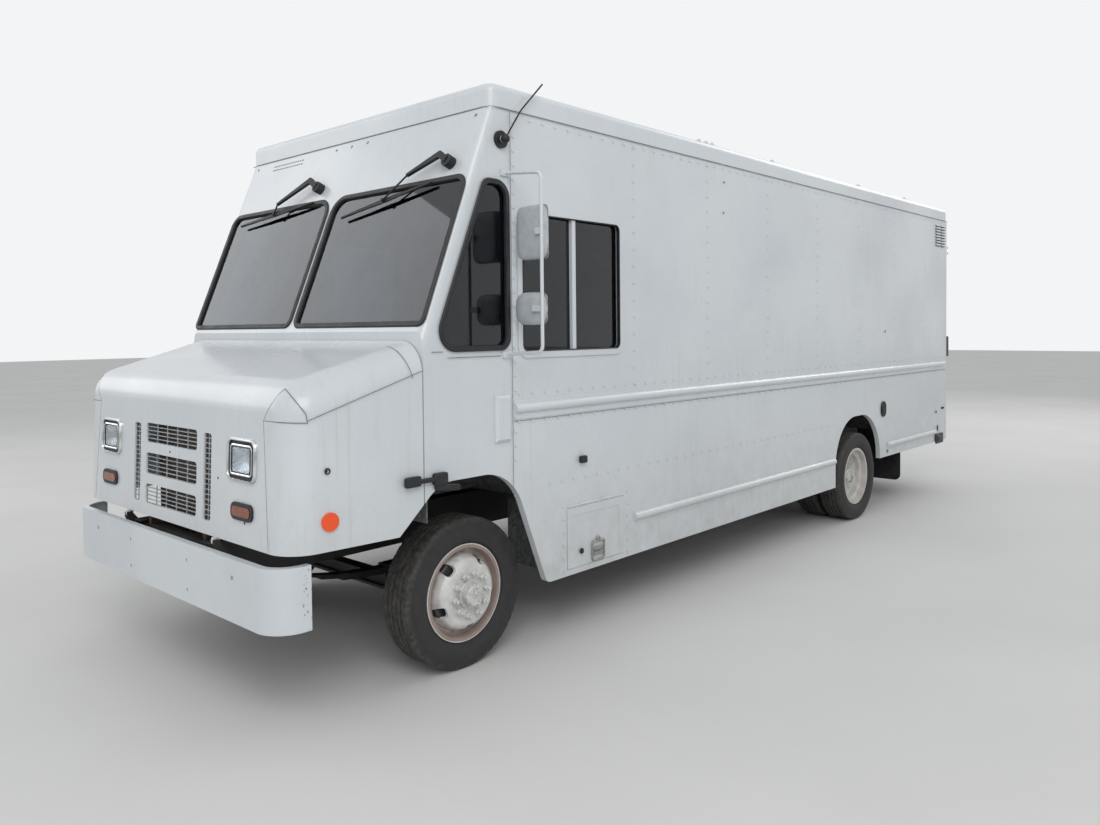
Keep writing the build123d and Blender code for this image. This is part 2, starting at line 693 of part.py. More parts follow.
def hood_shell():
    outer = hood_form(0.0)
    inner = hood_form(HOOD_T)
    inner += box(-HALF_W + 60, HALF_W - 60, HOOD_REAR_Y - 50, HOOD_REAR_Y + 50, 500, 1500)
    shell = outer - inner
    shell -= box(-1400, 1400, FRONT_Y - 400, HOOD_REAR_Y + 50, 300, HOOD_BOTTOM_Z)
    shell -= across(front_arch_rows(), -1400, 1400)
    for x0, x1, z0, z1, r, columns, rows in SLOTS:
        shell -= on_face(rounded_rect(x0, x1, z0, z1, r), -30, 30)
    shell -= cyl_x(HALF_W - 200, HALF_W + 10, SIDE_HOLE_Y, SIDE_HOLE_Z, SIDE_HOLE_R)
    for side in SIDES:
        lamp = rounded_rect(side * HEADLAMP_X - HEADLAMP_W / 2 - 1, side * HEADLAMP_X + HEADLAMP_W / 2 + 1,
                            HEADLAMP_Z - HEADLAMP_H / 2 - 1, HEADLAMP_Z + HEADLAMP_H / 2 + 1, 16)
        shell -= on_face(lamp, -30, 30)
        x = side * HOOD_LUG_X
        lug = across([(hood_face_y(900) + 4, 900, 0), (hood_face_y(900) + HOOD_T + 14, 900, 0),
                      (hood_face_y(820) + HOOD_T + 20, 815, 0), (HOOD_PIVOT_Y + 12, HOOD_PIVOT_Z - 12, 8),
                      (HOOD_PIVOT_Y - 12, HOOD_PIVOT_Z - 12, 8), (HOOD_PIVOT_Y - 12, HOOD_PIVOT_Z + 10, 8)],
                     x - HOOD_LUG_T / 2, x + HOOD_LUG_T / 2)
        ahead = [(FRONT_Y - 200, 822, 0), (hood_face_y(822) + 1, 822, 0),
                 (hood_face_y(1000) + 1, 1000, 0), (FRONT_Y - 200, 1000, 0)]
        lug -= across(ahead, x - 20, x + 20)
        lug -= cyl_x(x - 20, x + 20, HOOD_PIVOT_Y, HOOD_PIVOT_Z, HINGE_PIN_R + RUN_GAP)
        shell += lug
    return shell


def grille_mesh():
    """Flat wire grids seated against the back of the hood face, one behind each slot."""
    grids = []
    edge = 10.0
    bar = 5.0
    for x0, x1, z0, z1, r, columns, rows in SLOTS:
        rim_rows = rounded_rect(x0 - edge, x1 + edge, z0 - edge, z1 + edge, r)
        plate = on_face(rim_rows, -HOOD_T - SEAT_GAP, -HOOD_T - SEAT_GAP - 4)
        pitch_x = (x1 - x0) / columns
        pitch_z = (z1 - z0) / rows
        cells = []
        for i in range(columns):
            for j in range(rows):
                u = x0 + pitch_x * i
                v = z0 + pitch_z * j
                cell = rounded_rect(u + bar / 2, u + pitch_x - bar / 2, v + bar / 2, v + pitch_z - bar / 2, 0)
                cells.append(on_face(cell, -HOOD_T + 2, -HOOD_T - 8))
        grids.append(plate - cells)
    return grids


LENS_GAP = 4.0


def headlamp_bezels():
    rings = []
    for side in SIDES:
        x = side * HEADLAMP_X
        ring = on_face(rounded_rect(x - BEZEL_W / 2, x + BEZEL_W / 2, HEADLAMP_Z - BEZEL_H / 2,
                                    HEADLAMP_Z + BEZEL_H / 2, 34), SEAT_GAP, 16)
        half_w = HEADLAMP_W / 2 + LENS_GAP
        half_h = HEADLAMP_H / 2 + LENS_GAP
        hole = rounded_rect(x - half_w, x + half_w, HEADLAMP_Z - half_h, HEADLAMP_Z + half_h, 18)
        ring -= on_face(hole, -5, 30)
        rings.append(ring)
    return rings


def headlamp_lenses():
    units = []
    for side in SIDES:
        x = side * HEADLAMP_X
        units.append(on_face(rounded_rect(x - HEADLAMP_W / 2, x + HEADLAMP_W / 2, HEADLAMP_Z - HEADLAMP_H / 2,
                                          HEADLAMP_Z + HEADLAMP_H / 2, 14), -70, 8))
    return units


def amber_rows(side, grow, r):
    x = side * AMBER_X
    return rounded_rect(x - AMBER_W / 2 - grow, x + AMBER_W / 2 + grow,
                        AMBER_Z - AMBER_H / 2 - grow, AMBER_Z + AMBER_H / 2 + grow, r)


def amber_lamps():
    lamps = []
    for side in SIDES:
        lamps.append(on_face(amber_rows(side, 0, AMBER_R), SEAT_GAP, 14))
        x = hood_half_w(REFLECTOR_Y)
        lean = degrees(atan2(HOOD_TAPER, 1.0))
        place = Pos(side * (x + 0.6), REFLECTOR_Y, REFLECTOR_Z)
        disc = place * Rot(0, 0, -side * lean) * Rot(0, side * 90, 0)
        lamps.append(disc * Cylinder(REFLECTOR_R, 10, align=(Align.CENTER, Align.CENTER, Align.MIN)))
    return lamps


def lamp_grommets():
    rings = []
    for side in SIDES:
        ring = on_face(amber_rows(side, GROMMET_EDGE, 34), SEAT_GAP, 11)
        rings.append(ring - on_face(amber_rows(side, SEAT_GAP, AMBER_R + SEAT_GAP), -5, 30))
    return rings


# Hood latches: y from the front axle and z of each piece
LATCH_HEAD = (-523.0, -428.0, 1052.0, 1103.0)
LATCH_STRAP = (-433.0, -340.0, 1063.0, 1085.0)
LATCH_FOOT = (-347.0, -261.0, 1041.0, 1102.0)
LATCH_HOOK = [(-335.0, 1024.0, 4), (-178.0, 994.0, 10), (-178.0, 1028.0, 10), (-335.0, 1062.0, 4)]


def hood_latches():
    """Rubber pull latch on each side, reaching over the hood and held on the cab side."""
    latches = []
    for side in SIDES:
        root = side * (HALF_W + SEAT_GAP)
        x = side * (HALF_W + 5.5)
        y0, y1, z0, z1 = LATCH_HEAD
        shape = box(x, x + side * 20, AXLE_F + y0, AXLE_F + y1, z0, z1)
        y0, y1, z0, z1 = LATCH_STRAP
        shape += box(x + side * 2, x + side * 16, AXLE_F + y0, AXLE_F + y1, z0, z1)
        y0, y1, z0, z1 = LATCH_FOOT
        shape += box(root, x + side * 22, AXLE_F + y0, AXLE_F + y1, z0, z1)
        shape += across([(AXLE_F + y, z, r) for y, z, r in LATCH_HOOK], root, x + side * 18)
        latches.append(shape)
    return latches


# Cab front shell with windshield and quarter openings
def windshield_plane():
    return Plane(origin=(0, COWL_Y, COWL_Z), x_dir=(1, 0, 0), z_dir=(0, -cos(WS_ANGLE), sin(WS_ANGLE)))


def slant(z):
    return (z - COWL_Z) / cos(WS_ANGLE)


def windshield_rows(side, inset):
    """Outline of one windshield, moved inward by inset."""
    inner = 12.0 + inset
    outer = HALF_W - 12.0 - inset
    low = slant(WS_LOW_Z) + inset
    high = slant(WS_HIGH_Z) - inset
    rows = [(inner, low, max(60 - inset, 4)), (outer, low, max(50 - inset, 4)),
            (outer, high, max(85 - inset, 4)), (inner, high, max(120 - inset, 4))]
    return rows if side > 0 else mirror_x(rows)


def on_windshield(rows, depth0, depth1):
    return extrude(windshield_plane().offset(depth0) * outline(rows), amount=depth1 - depth0)


def quarter_rows(inset):
    """Quarter window outline in side view; its front edge leans like the windshield."""
    shift = inset / cos(WS_ANGLE)
    z0 = WINDOW_Z0 + inset
    z1 = WINDOW_Z1 - inset

    def front_edge(z):
        return QUARTER_FOOT_Y + QUARTER_TAN * (z - WINDOW_Z0) + shift
    rear = CAB_SEAM_Y - 12.0 - inset
    return [(front_edge(z0), z0, 110 - inset), (rear, z0, 70 - inset),
            (rear, z1, 95 - inset), (front_edge(z1), z1, 62 - inset)]


def on_side(rows, side, depth0, depth1):
    """Side outline of y, z and radius, from depth0 to depth1 outside the wall's face."""
    return across(rows, side * (HALF_W + depth0), side * (HALF_W + depth1))


def cab_front():
    rear = CAB_SEAM_Y
    outer = across([(COWL_Y, CAB_SILL_Z, 0), (COWL_Y, COWL_Z, 0), (slant_y(EAVE_Z), EAVE_Z, 0),
                    (rear, EAVE_Z, 0), (rear, CAB_SILL_Z, 0)], -HALF_W, HALF_W)
    pillars = [e for e in outer.edges() if abs(abs(e.center().X) - HALF_W) < 1 and e.length > 1000
               and e.center().Y < rear - 50 and e.center().Z > COWL_Z]
    outer = fillet(pillars, PILLAR_R)
    inside_top = EAVE_Z + 200
    inner = across([(COWL_Y + WALL, CAB_SILL_Z - 50, 0), (COWL_Y + WALL, COWL_Z, 0),
                    (slant_y(inside_top, WALL), inside_top, 0), (rear + 50, inside_top, 0),
                    (rear + 50, CAB_SILL_Z - 50, 0)], -INNER_W, INNER_W)
    shell = outer - inner
    for side in SIDES:
        shell -= on_windshield(windshield_rows(side, GASKET_W / 2), -WALL * 3, 40)
        shell -= on_side(quarter_rows(GASKET_W / 2), side, -WALL - 5, 20)
    shell -= across(front_arch_rows(), -1400, 1400)
    shell -= box(-TUNNEL_HALF, TUNNEL_HALF, COWL_Y - 10, COWL_Y + WALL + 10, CAB_SILL_Z - 10, TUNNEL_Z)
    for x in HEADER_HOLES:
        shell -= slant_boss(x, HEADER_HOLE_Z, -60, 20, HEADER_HOLE_R)
    scoop = box(HALF_W - 1, HALF_W + 26, CAB_SEAM_Y - 133, CAB_SEAM_Y - 22, 1208, 1453)
    scoop_edges = [e for e in scoop.edges() if e.center().X > HALF_W + 20]
    shell += chamfer(scoop_edges, 14)
    return shell


def glass_panes():
    panes = []
    inset = GASKET_W / 2 + 0.5
    for side in SIDES:
        panes.append(on_windshield(windshield_rows(side, inset), -14, -14 + GLASS_T))
        panes.append(on_side(quarter_rows(inset), side, -16, -16 + GLASS_T))
    for y0, y1 in WINDOW_PANES:
        rows = rounded_rect(y0, y1, SIDE_WIN_Z0 + FRAME_W, SIDE_WIN_Z1 - FRAME_W, 30)
        panes.append(on_side(rows, 1, -24, -24 + GLASS_T))
    return panes


def window_gaskets():
    """Rubber rings that lap the panel's face and fill the cut edge round each pane."""
    rings = []
    half = GASKET_W / 2
    for side in SIDES:
        ring = on_windshield(windshield_rows(side, 0.0), SEAT_GAP, GASKET_PROUD)
        ring += on_windshield(windshield_rows(side, half + SEAT_GAP), -8, 1)
        ring -= on_windshield(windshield_rows(side, half + 16), -50, 40)
        rings.append(ring)
        ring = on_side(quarter_rows(0.0), side, SEAT_GAP, GASKET_PROUD)
        ring += on_side(quarter_rows(half + SEAT_GAP), side, -9, 1)
        ring -= on_side(quarter_rows(half + 16), side, -50, 40)
        rings.append(ring)
    return rings


SIDE_WIN_Y0 = CAB_SEAM_Y + 50.0
SIDE_WIN_Y1 = SIDE_WIN_Y0 + 922.0
SIDE_WIN_Z0 = 1645.0
SIDE_WIN_Z1 = EAVE_Z - 500.0
FRAME_W = 36.0
FRAME_LAP = 14.0
DIVIDER_Y = SIDE_WIN_Y0 + 464.0
DIVIDER_W = 32.0
WINDOW_PANES = [
    (SIDE_WIN_Y0 + FRAME_W, DIVIDER_Y - DIVIDER_W / 2 + 10),
    (DIVIDER_Y + DIVIDER_W / 2 - 10, SIDE_WIN_Y1 - FRAME_W),
]


def side_window_frame():
    ring = on_side(rounded_rect(SIDE_WIN_Y0, SIDE_WIN_Y1, SIDE_WIN_Z0, SIDE_WIN_Z1, 70), 1, SEAT_GAP, 9)
    lap = FRAME_LAP + SEAT_GAP
    inner = rounded_rect(SIDE_WIN_Y0 + lap, SIDE_WIN_Y1 - lap, SIDE_WIN_Z0 + lap, SIDE_WIN_Z1 - lap, 56)
    ring += on_side(inner, 1, -17.5, 1)
    ring -= on_side(rounded_rect(SIDE_WIN_Y0 + FRAME_W, SIDE_WIN_Y1 - FRAME_W, SIDE_WIN_Z0 + FRAME_W,
                                 SIDE_WIN_Z1 - FRAME_W, 36), 1, -40, 40)
    divider = rounded_rect(DIVIDER_Y - DIVIDER_W / 2, DIVIDER_Y + DIVIDER_W / 2, SIDE_WIN_Z0 + FRAME_W - 2,
                           SIDE_WIN_Z1 - FRAME_W + 2, 0)
    return ring + on_side(divider, 1, -17.5, 4)


BATTERY_Y0 = AXLE_F + 648.0
BATTERY_Y1 = AXLE_F + 1183.0
BATTERY_Z0 = 411.0
BATTERY_Z1 = 777.0
FILLER_Y = AXLE_R + 517.0
FILLER_Z = 993.0
ACCESS_HINGE_X = HALF_W + 4.0
ACCESS_HINGE_Z = BATTERY_Z1 - 1.0
ACCESS_HINGE_R = 4.0
ACCESS_KNUCKLES = 5


def access_hinge(first):
    """Every second knuckle of the long hinge: first 0 is the door's, first 1 is the wall's."""
    pitch = (BATTERY_Y1 - BATTERY_Y0 - 20) / ACCESS_KNUCKLES
    knuckles = None
    for i in range(first, ACCESS_KNUCKLES, 2):
        y0 = BATTERY_Y0 + 10 + pitch * i
        y1 = y0 + pitch - SEAT_GAP
        barrel = cyl_y(ACCESS_HINGE_X, y0, y1, ACCESS_HINGE_Z, ACCESS_HINGE_R)
        z0 = ACCESS_HINGE_Z + first * 1.5
        z1 = ACCESS_HINGE_Z + (14.0 if first else -8.0)
        barrel += box(HALF_W - 0.5, ACCESS_HINGE_X, y0, y1, z0, z1)
        knuckles = barrel if knuckles is None else knuckles + barrel
    return knuckles


def body_side(side):
    """Side wall from the cab seam to the rear post, with its arches and openings."""
    y0 = CAB_SEAM_Y
    y1 = BODY_END_Y - REAR_POST
    step = AXLE_R + REAR_ARCH_HALF - 100
    wall = across([(y0, SKIRT_Z, 0), (step, SKIRT_Z, 0), (step, REAR_SKIRT_Z, 0), (y1, REAR_SKIRT_Z, 0),
                   (y1, EAVE_Z, 0), (y0, EAVE_Z, 0)], side * INNER_W, side * HALF_W)
    wall -= across(front_arch_rows(), -1400, 1400)
    wall -= across(rear_arch_rows(), -1400, 1400)
    if side > 0:
        hole = rounded_rect(SIDE_WIN_Y0 + 14, SIDE_WIN_Y1 - 14, SIDE_WIN_Z0 + 14, SIDE_WIN_Z1 - 14, 56)
        wall -= on_side(hole, side, -60, 20)
        wall -= on_side(rounded_rect(BATTERY_Y0, BATTERY_Y1, BATTERY_Z0, BATTERY_Z1, 12), side, -60, 20)
        oval = Plane.YZ.offset(HALF_W - 26) * Pos(FILLER_Y, FILLER_Z) * Ellipse(57, 73)
        wall -= extrude(oval, amount=60)
        wall += cyl_x(HALF_W - 27, HALF_W - 8, FILLER_Y, FILLER_Z, 38)
        wall += access_hinge(1)
    else:
        wall -= on_side(rounded_rect(SLIDE_Y0, SLIDE_Y1, STEP_Z, SLIDE_Z1, 40), side, -60, 20)
        wall += door_track()
    return wall


def roof():
    y0 = slant_y(EAVE_Z) - ROOF_LIP
    y1 = BODY_END_Y
    w = HALF_W + ROOF_LIP
    t = WALL + ROOF_LIP
    cap = upward(rounded_rect(-w, w, y0, y1, 70), EAVE_Z, ROOF_Z)
    rim_edges = [e for e in cap.edges() if abs(e.center().Z - ROOF_Z) < 1]
    cap = fillet(rim_edges, 42)
    inside = upward(rounded_rect(-w + t, w - t, y0 + t, y1 - t, 40), EAVE_Z - 10, ROOF_Z - 35)
    return cap - inside


def open_box(x_in, x_out, y0, y1, z0, z1, t, lid):
    """Inner, front, rear and level plates open toward x_out; lid puts the level plate on top."""
    way = 1 if x_out > x_in else -1
    if lid:
        level = box(x_in, x_out, y0, y1, z1 - t, z1)
        low = z0
        high = z1 - t - SEAT_GAP
    else:
        level = box(x_in, x_out, y0, y1, z0, z0 + t)
        low = z0 + t + SEAT_GAP
        high = z1
    inner = box(x_in, x_in + way * t, y0, y1, low, high)
    start = x_in + way * (t + SEAT_GAP)
    front = box(start, x_out, y0, y0 + t, low, high)
    rear = box(start, x_out, y1 - t, y1, low, high)
    return [level, inner, front, rear]


# Middles of the cross sills under the floor
CROSS_SILLS = [
    AXLE_F + 745.0,
    AXLE_F + 1500.0,
    AXLE_F + 2500.0,
    AXLE_F + 3500.0,
    AXLE_R - 640.0,
    AXLE_R + 620.0,
    AXLE_R + 0.638 * REAR_SPAN,
    AXLE_R + 0.928 * REAR_SPAN,
]
SILL_HALF = 30.0
# Wheelhouses: inner x, front and rear y, top z
WHEELHOUSES = [
    (FRONT_TYRE_X - 357.0, COWL_Y + WALL, AXLE_F + 522.0, 1060.0),
    (DUAL_X - 300.0, AXLE_R - 560.0, AXLE_R + 560.0, 1000.0),
]
DECK_SPLIT_Y = SLIDE_Y1 + 80.0
DOOR_EDGE = INNER_W - DOOR_T - 2 * SLIDE_RUN_GAP - 6


def floor_deck(x0, x1, y0, y1):
    """Floor plate between two x and two y, cut out for the door's way, the tunnel and the wheels."""
    z0 = FLOOR_Z - FLOOR_T - 5
    z1 = FLOOR_Z + 5
    plate = box(x0, x1, y0, y1, FLOOR_Z - FLOOR_T, FLOOR_Z)
    plate -= box(-INNER_W, -DOOR_EDGE, SLIDE_Y0 - SLIDE_LAP - 6, SLIDE_Y1 + SLIDE_WAY, z0, z1)
    plate -= box(-TUNNEL_HALF + 30, TUNNEL_HALF - 30, COWL_Y, TUNNEL_END_Y, z0, z1)
    for side in SIDES:
        for x_in, ya, yb, top in WHEELHOUSES:
            plate -= box(side * x_in, side * INNER_W, ya, yb, z0, z1)
    return plate


def floor():
    """Decks, cross sills, wheelhouses, battery tray and entry step."""
    half = INNER_W - SEAT_GAP
    z0 = FLOOR_Z - FLOOR_T
    cowl = COWL_Y + WALL + SEAT_GAP
    curb = -STEP_IN_X - SEAT_GAP
    pieces = [floor_deck(-STEP_IN_X, half, cowl, DECK_SPLIT_Y)]
    pieces += [floor_deck(-DOOR_EDGE, curb, WHEELHOUSES[0][2] + SEAT_GAP, SLIDE_Y0)]
    pieces += [floor_deck(-DOOR_EDGE, curb, SLIDE_Y1, DECK_SPLIT_Y)]
    pieces += [floor_deck(-half, half, DECK_SPLIT_Y + SEAT_GAP, BODY_END_Y - REAR_POST - 2)]
    for y in CROSS_SILLS:
        right = -STEP_IN_X + 7 if y < SLIDE_Y1 + SILL_HALF else -half + 120
        pieces += [box(right, half, y - SILL_HALF, y + SILL_HALF, RAIL_Z1 + SEAT_GAP, z0 - SEAT_GAP)]
    for side in SIDES:
        for x_in, ya, yb, top in WHEELHOUSES:
            y0 = ya + SEAT_GAP
            y1 = yb - SEAT_GAP
            pieces += open_box(side * (x_in + SEAT_GAP), side * half, y0, y1, z0, top, 6, True)
    y0 = BATTERY_Y0 - 20
    y1 = BATTERY_Y1 + 20
    pieces += open_box(INNER_W - 420, half, y0, y1, BATTERY_Z0 - 20, RAIL_Z1, 8, False)
    y0 = SLIDE_Y0 - 6
    y1 = SLIDE_Y1 + 6
    pieces += open_box(-STEP_IN_X + 6, -DOOR_EDGE, y0, y1, STEP_Z + 4, z0 - SEAT_GAP, 6, False)
    return pieces


def access_door():
    gap = 3.0
    face = rounded_rect(BATTERY_Y0 + gap, BATTERY_Y1 - gap, BATTERY_Z0 + gap, BATTERY_Z1 - gap, 10)
    door = on_side(face, 1, -10, 0)
    rim_rows = rounded_rect(BATTERY_Y0 + gap, BATTERY_Y1 - gap, BATTERY_Z0 + gap, BATTERY_Z1 - 14, 10)
    hole = rounded_rect(BATTERY_Y0 + 48, BATTERY_Y1 - 48, BATTERY_Z0 + 48, BATTERY_Z1 - 60, 12)
    door += on_side(rim_rows, 1, -0.5, 3) - on_side(hole, 1, -1, 6)
    return door + access_hinge(0)


# Half-round rubbing strips: front and rear y, centre z, width of the flat flange
RUB_RAILS = [
    (AXLE_F + 232.0, BODY_END_Y - 90.0, 1370.0, 108.0),
    (AXLE_F + 1290.0, AXLE_R - 585.0, 610.0, 84.0),
    (AXLE_R + 625.0, BODY_END_Y - 360.0, 628.0, 70.0),
]
RAIL_BULGE = 26.0


def rub_rails():
    rails = []
    for side in SIDES:
        for start, end, z, flange in RUB_RAILS:
            first = start if side > 0 else max(start, SLIDE_Y1 + 40)
            x = side * (HALF_W + SEAT_GAP)
            flat = box(x, x + side * 3, first, end, z - flange / 2, z + flange / 2)
            half = cyl_y(x, first, end, z + 4, RAIL_BULGE)
            half &= box(x, x + side * 60, first, end, z - 60, z + 60)
            rails.append(flat + half)
    return rails


MIRROR_Y = CAB_SEAM_Y - 36.0
MIRROR_TUBE_X = HALF_W + 262.0
MIRROR_TOP_Z = EAVE_Z - 365.0
MIRROR_LOW_Z = 1668.0
MIRROR_TUBE_R = 9.5
# Mirror heads: inboard and outboard x beyond the wall, z0, z1, corner radius, depth
MIRROR_HEADS = [
    (56.0, 250.0, 2163.0, 2444.0, 26.0, 50.0),
    (34.0, 236.0, 1823.0, 1994.0, 40.0, 54.0),
]
MIRROR_ROUND = 0.6


def mirror_brackets():
    """Tube loop on each side with its feet on the wall and a clamp to each mirror head."""
    loops = []
    for side in SIDES:
        x = side * MIRROR_TUBE_X
        root = side * (HALF_W + 3.3)
        points = [(root, MIRROR_Y, MIRROR_TOP_Z + 26), (x, MIRROR_Y, MIRROR_TOP_Z),
                  (x, MIRROR_Y, MIRROR_LOW_Z + 16), (root, MIRROR_Y, MIRROR_LOW_Z)]
        loop = tube(points, MIRROR_TUBE_R, 34)
        for z in (MIRROR_TOP_Z + 26, MIRROR_LOW_Z):
            foot_x = side * (HALF_W + SEAT_GAP)
            loop += box(foot_x, side * (HALF_W + 12), MIRROR_Y - 34, MIRROR_Y + 30, z - 17, z + 17)
        for x0, x1, z0, z1, r, depth in MIRROR_HEADS:
            near = side * (HALF_W + x1 - MIRROR_ROUND * r - 16)
            far = side * (MIRROR_TUBE_X - 6)
            z = (z0 + z1) / 2
            loop += box(near, far, MIRROR_Y - 5, MIRROR_Y + MIRROR_TUBE_R, z - 16, z + 16)
        loops.append(loop)
    return loops


def mirror_heads():
    """Shells behind the tubes, rounded at the front."""
    heads = []
    front = MIRROR_Y + MIRROR_TUBE_R + SEAT_GAP
    for side in SIDES:
        for x0, x1, z0, z1, r, depth in MIRROR_HEADS:
            rows = rounded_rect(HALF_W + x0, HALF_W + x1, z0, z1, r)
            head = along(rows if side > 0 else mirror_x(rows), front, front + depth)
            front_edges = [e for e in head.edges() if abs(e.center().Y - front) < 1]
            heads.append(fillet(front_edges, r * MIRROR_ROUND))
    return heads


# Wipers: x and depth below the eave of the pivot, arm head, arm end and both blade ends
WIPERS = [
    ((1032.0, 296.0), (968.0, 257.0), (732.0, 343.0), (183.0, 516.0), (935.0, 395.0)),
    ((-181.0, 292.0), (-270.0, 243.0), (-581.0, 364.0), (-1021.0, 460.0), (-197.0, 381.0)),
]
ARM_LIFT = (34.0, 52.0)
BLADE_LIFT = (18.0, 26.0)


def on_slant_point(x, z, lift):
    return Vector(x, slant_y(z) - lift * cos(WS_ANGLE), z + lift * sin(WS_ANGLE))


def slant_boss(x, z, lift0, lift1, radius):
    """Round boss square to the windshield plane."""
    return tube([on_slant_point(x, z, lift0), on_slant_point(x, z, lift1)], radius, 0)


def slant_bar(start, end, w0, w1, lifts):
    """Flat bar on the windshield plane between two points of x and z, w0 wide tapering to w1."""
    first = Vector(start[0], slant(start[1]))
    last = Vector(end[0], slant(end[1]))
    run = (last - first).normalized()
    half0 = Vector(-run.Y, run.X) * w0 / 2
    half1 = Vector(-run.Y, run.X) * w1 / 2
    corners = [first - half0, last - half1, last + half1, first + half0]
    return on_windshield([(c.X, c.Y, 0) for c in corners], *lifts)


def wipers():
    """Pivot, arm, link and blade of each wiper, parked along the top of the windshields."""
    shapes = []
    for row in WIPERS:
        pivot, head, tip, first, last = [(x, EAVE_Z - below) for x, below in row]
        middle = ((first[0] + last[0]) / 2, (first[1] + last[1]) / 2)
        shape = slant_boss(*pivot, SEAT_GAP, 46, 34)
        shape += slant_bar(pivot, head, 36, 36, ARM_LIFT)
        shape += slant_boss(*head, ARM_LIFT[0], ARM_LIFT[1], 18)
        shape += slant_bar(head, tip, 36, 14, ARM_LIFT)
        shape += tube([on_slant_point(*tip, 43), on_slant_point(*middle, 32)], 5, 0)
        shape += slant_boss(*middle, BLADE_LIFT[0], 41, 10.5)
        shape += slant_bar(middle, first, 26, 8, BLADE_LIFT)
        shape += slant_bar(middle, last, 26, 8, BLADE_LIFT)
        shape += tube([on_slant_point(*first, 17), on_slant_point(*last, 17)], 6, 0)
        shapes.append(shape)
    return shapes


def antenna():
    """Whip on a round base, bent rearwards, in a plane beside the roof."""
    x = HALF_W + 40
    y = CAB_SEAM_Y - 67.0
    z = EAVE_Z - 168.0
    shape = cyl_x(HALF_W + SEAT_GAP, HALF_W + 14, y, z, 46)
    shape += cyl_x(HALF_W + 13, x, y, z, 16)
    shape += Pos(x, y, z) * Sphere(24)
    return shape + tube([(x, y, z), (x, y + 117, z + 165), (x, y + 289, z + 338)], 4.5, 300)


# Interior
def dashboard():
    y0 = COWL_Y + WALL + SEAT_GAP
    half = INNER_W - SEAT_GAP
    shape = across([(y0, 1330, 0), (y0, COWL_Z - 20, 30), (y0 + 190, COWL_Z - 120, 40), (y0 + 230, 1460, 40),
                    (y0 + 150, 1330, 30)], -half, half)
    column_low = Vector(DRIVER_X, y0 + 120, 1350)
    column_top = Vector(DRIVER_X, AXLE_F + 110, 1640)
    shape += tube([column_low, column_top], 32, 0)
    tilt = degrees(atan2(column_top.Y - column_low.Y, column_top.Z - column_low.Z))
    wheel = Torus(215, 14) + Cylinder(48, 26)
    for turn in (90, 210, 330):
        wheel += Rot(0, 0, turn) * Pos(110, 0, 0) * Box(215, 26, 12)
    shape += Pos(*column_top) * Rot(-tilt, 0, 0) * wheel
    return shape


def engine_cover():
    y0 = COWL_Y + WALL
    y1 = TUNNEL_END_Y
    rows = [(-TUNNEL_HALF, FLOOR_Z + SEAT_GAP, 0), (TUNNEL_HALF, FLOOR_Z + SEAT_GAP, 0),
            (TUNNEL_HALF - 20, TUNNEL_Z - 10, 60), (-TUNNEL_HALF + 20, TUNNEL_Z - 10, 60)]
    inner = [(-TUNNEL_HALF + 22, FLOOR_Z - 10, 0), (TUNNEL_HALF - 22, FLOOR_Z - 10, 0),
             (TUNNEL_HALF - 42, TUNNEL_Z - 30, 40), (-TUNNEL_HALF + 42, TUNNEL_Z - 30, 40)]
    shape = along(rows, y0 + SEAT_GAP, y1) - along(inner, y0 - 5, y1 - 20)
    return shape


def seat_base():
    x = DRIVER_X
    foot = box(x - 150, x + 150, SEAT_Y - 140, SEAT_Y + 170, FLOOR_Z + SEAT_GAP, FLOOR_Z + 20)
    post = box(x - 90, x + 90, SEAT_Y - 80, SEAT_Y + 110, FLOOR_Z + 20, SEAT_PAN_Z)
    pan = box(x - 215, x + 215, SEAT_Y - 210, SEAT_Y + 210, SEAT_PAN_Z, SEAT_PAN_Z + 25)
    back = box(x - 190, x + 190, SEAT_Y + 210, SEAT_Y + 226, SEAT_PAN_Z, 1800)
    return foot + post + pan + back


def seat_cushions():
    x = DRIVER_X
    pad = upward(rounded_rect(x - 240, x + 240, SEAT_Y - 260, SEAT_Y + 205, 60), SEAT_PAN_Z + 25.3, 1345)
    back = along(rounded_rect(x - 225, x + 225, 1350, 1930, 90), SEAT_Y + 95, SEAT_Y + 209.7)
    return [pad, back]


# Sliding side door on the curb side, inside the wall
# Pane of the sliding door: side margin, lower and upper edge, corner radius
PANE_SIDE = 130.0
PANE_Z0 = 1690.0
PANE_Z1 = EAVE_Z - 525.0
PANE_R = 60.0


def sliding_door():
    x0 = -INNER_W + SLIDE_RUN_GAP
    x1 = x0 + DOOR_T
    y0 = SLIDE_Y0 - SLIDE_LAP
    y1 = SLIDE_Y1 + SLIDE_LAP
    leaf = across(rounded_rect(y0, y1, STEP_Z - SLIDE_LAP, SLIDE_Z1 + SLIDE_LAP, 30), x0, x1)
    hole = rounded_rect(y0 + PANE_SIDE, y1 - PANE_SIDE, PANE_Z0, PANE_Z1, PANE_R)
    leaf -= across(hole, x0 - 10, x1 + 10)
    leaf += box(x0 - 4, x0 + 1, y0 + 60, y0 + 82, 1240, 1420)
    top = SLIDE_Z1 + SLIDE_LAP
    for y in (y0 + 100, y1 - 160):
        leaf += box(x0 + 5, x1 - 5, y, y + 60, top - 10, top + TRACK_RISE - SEAT_GAP)
    return leaf


def sliding_door_glass():
    x0 = -INNER_W + SLIDE_RUN_GAP + DOOR_T / 2 - 3
    y0 = SLIDE_Y0 - SLIDE_LAP
    y1 = SLIDE_Y1 + SLIDE_LAP
    side = PANE_SIDE + SEAT_GAP
    pane = rounded_rect(y0 + side, y1 - side, PANE_Z0 + SEAT_GAP, PANE_Z1 - SEAT_GAP, PANE_R - SEAT_GAP)
    return across(pane, x0, x0 + GLASS_T)


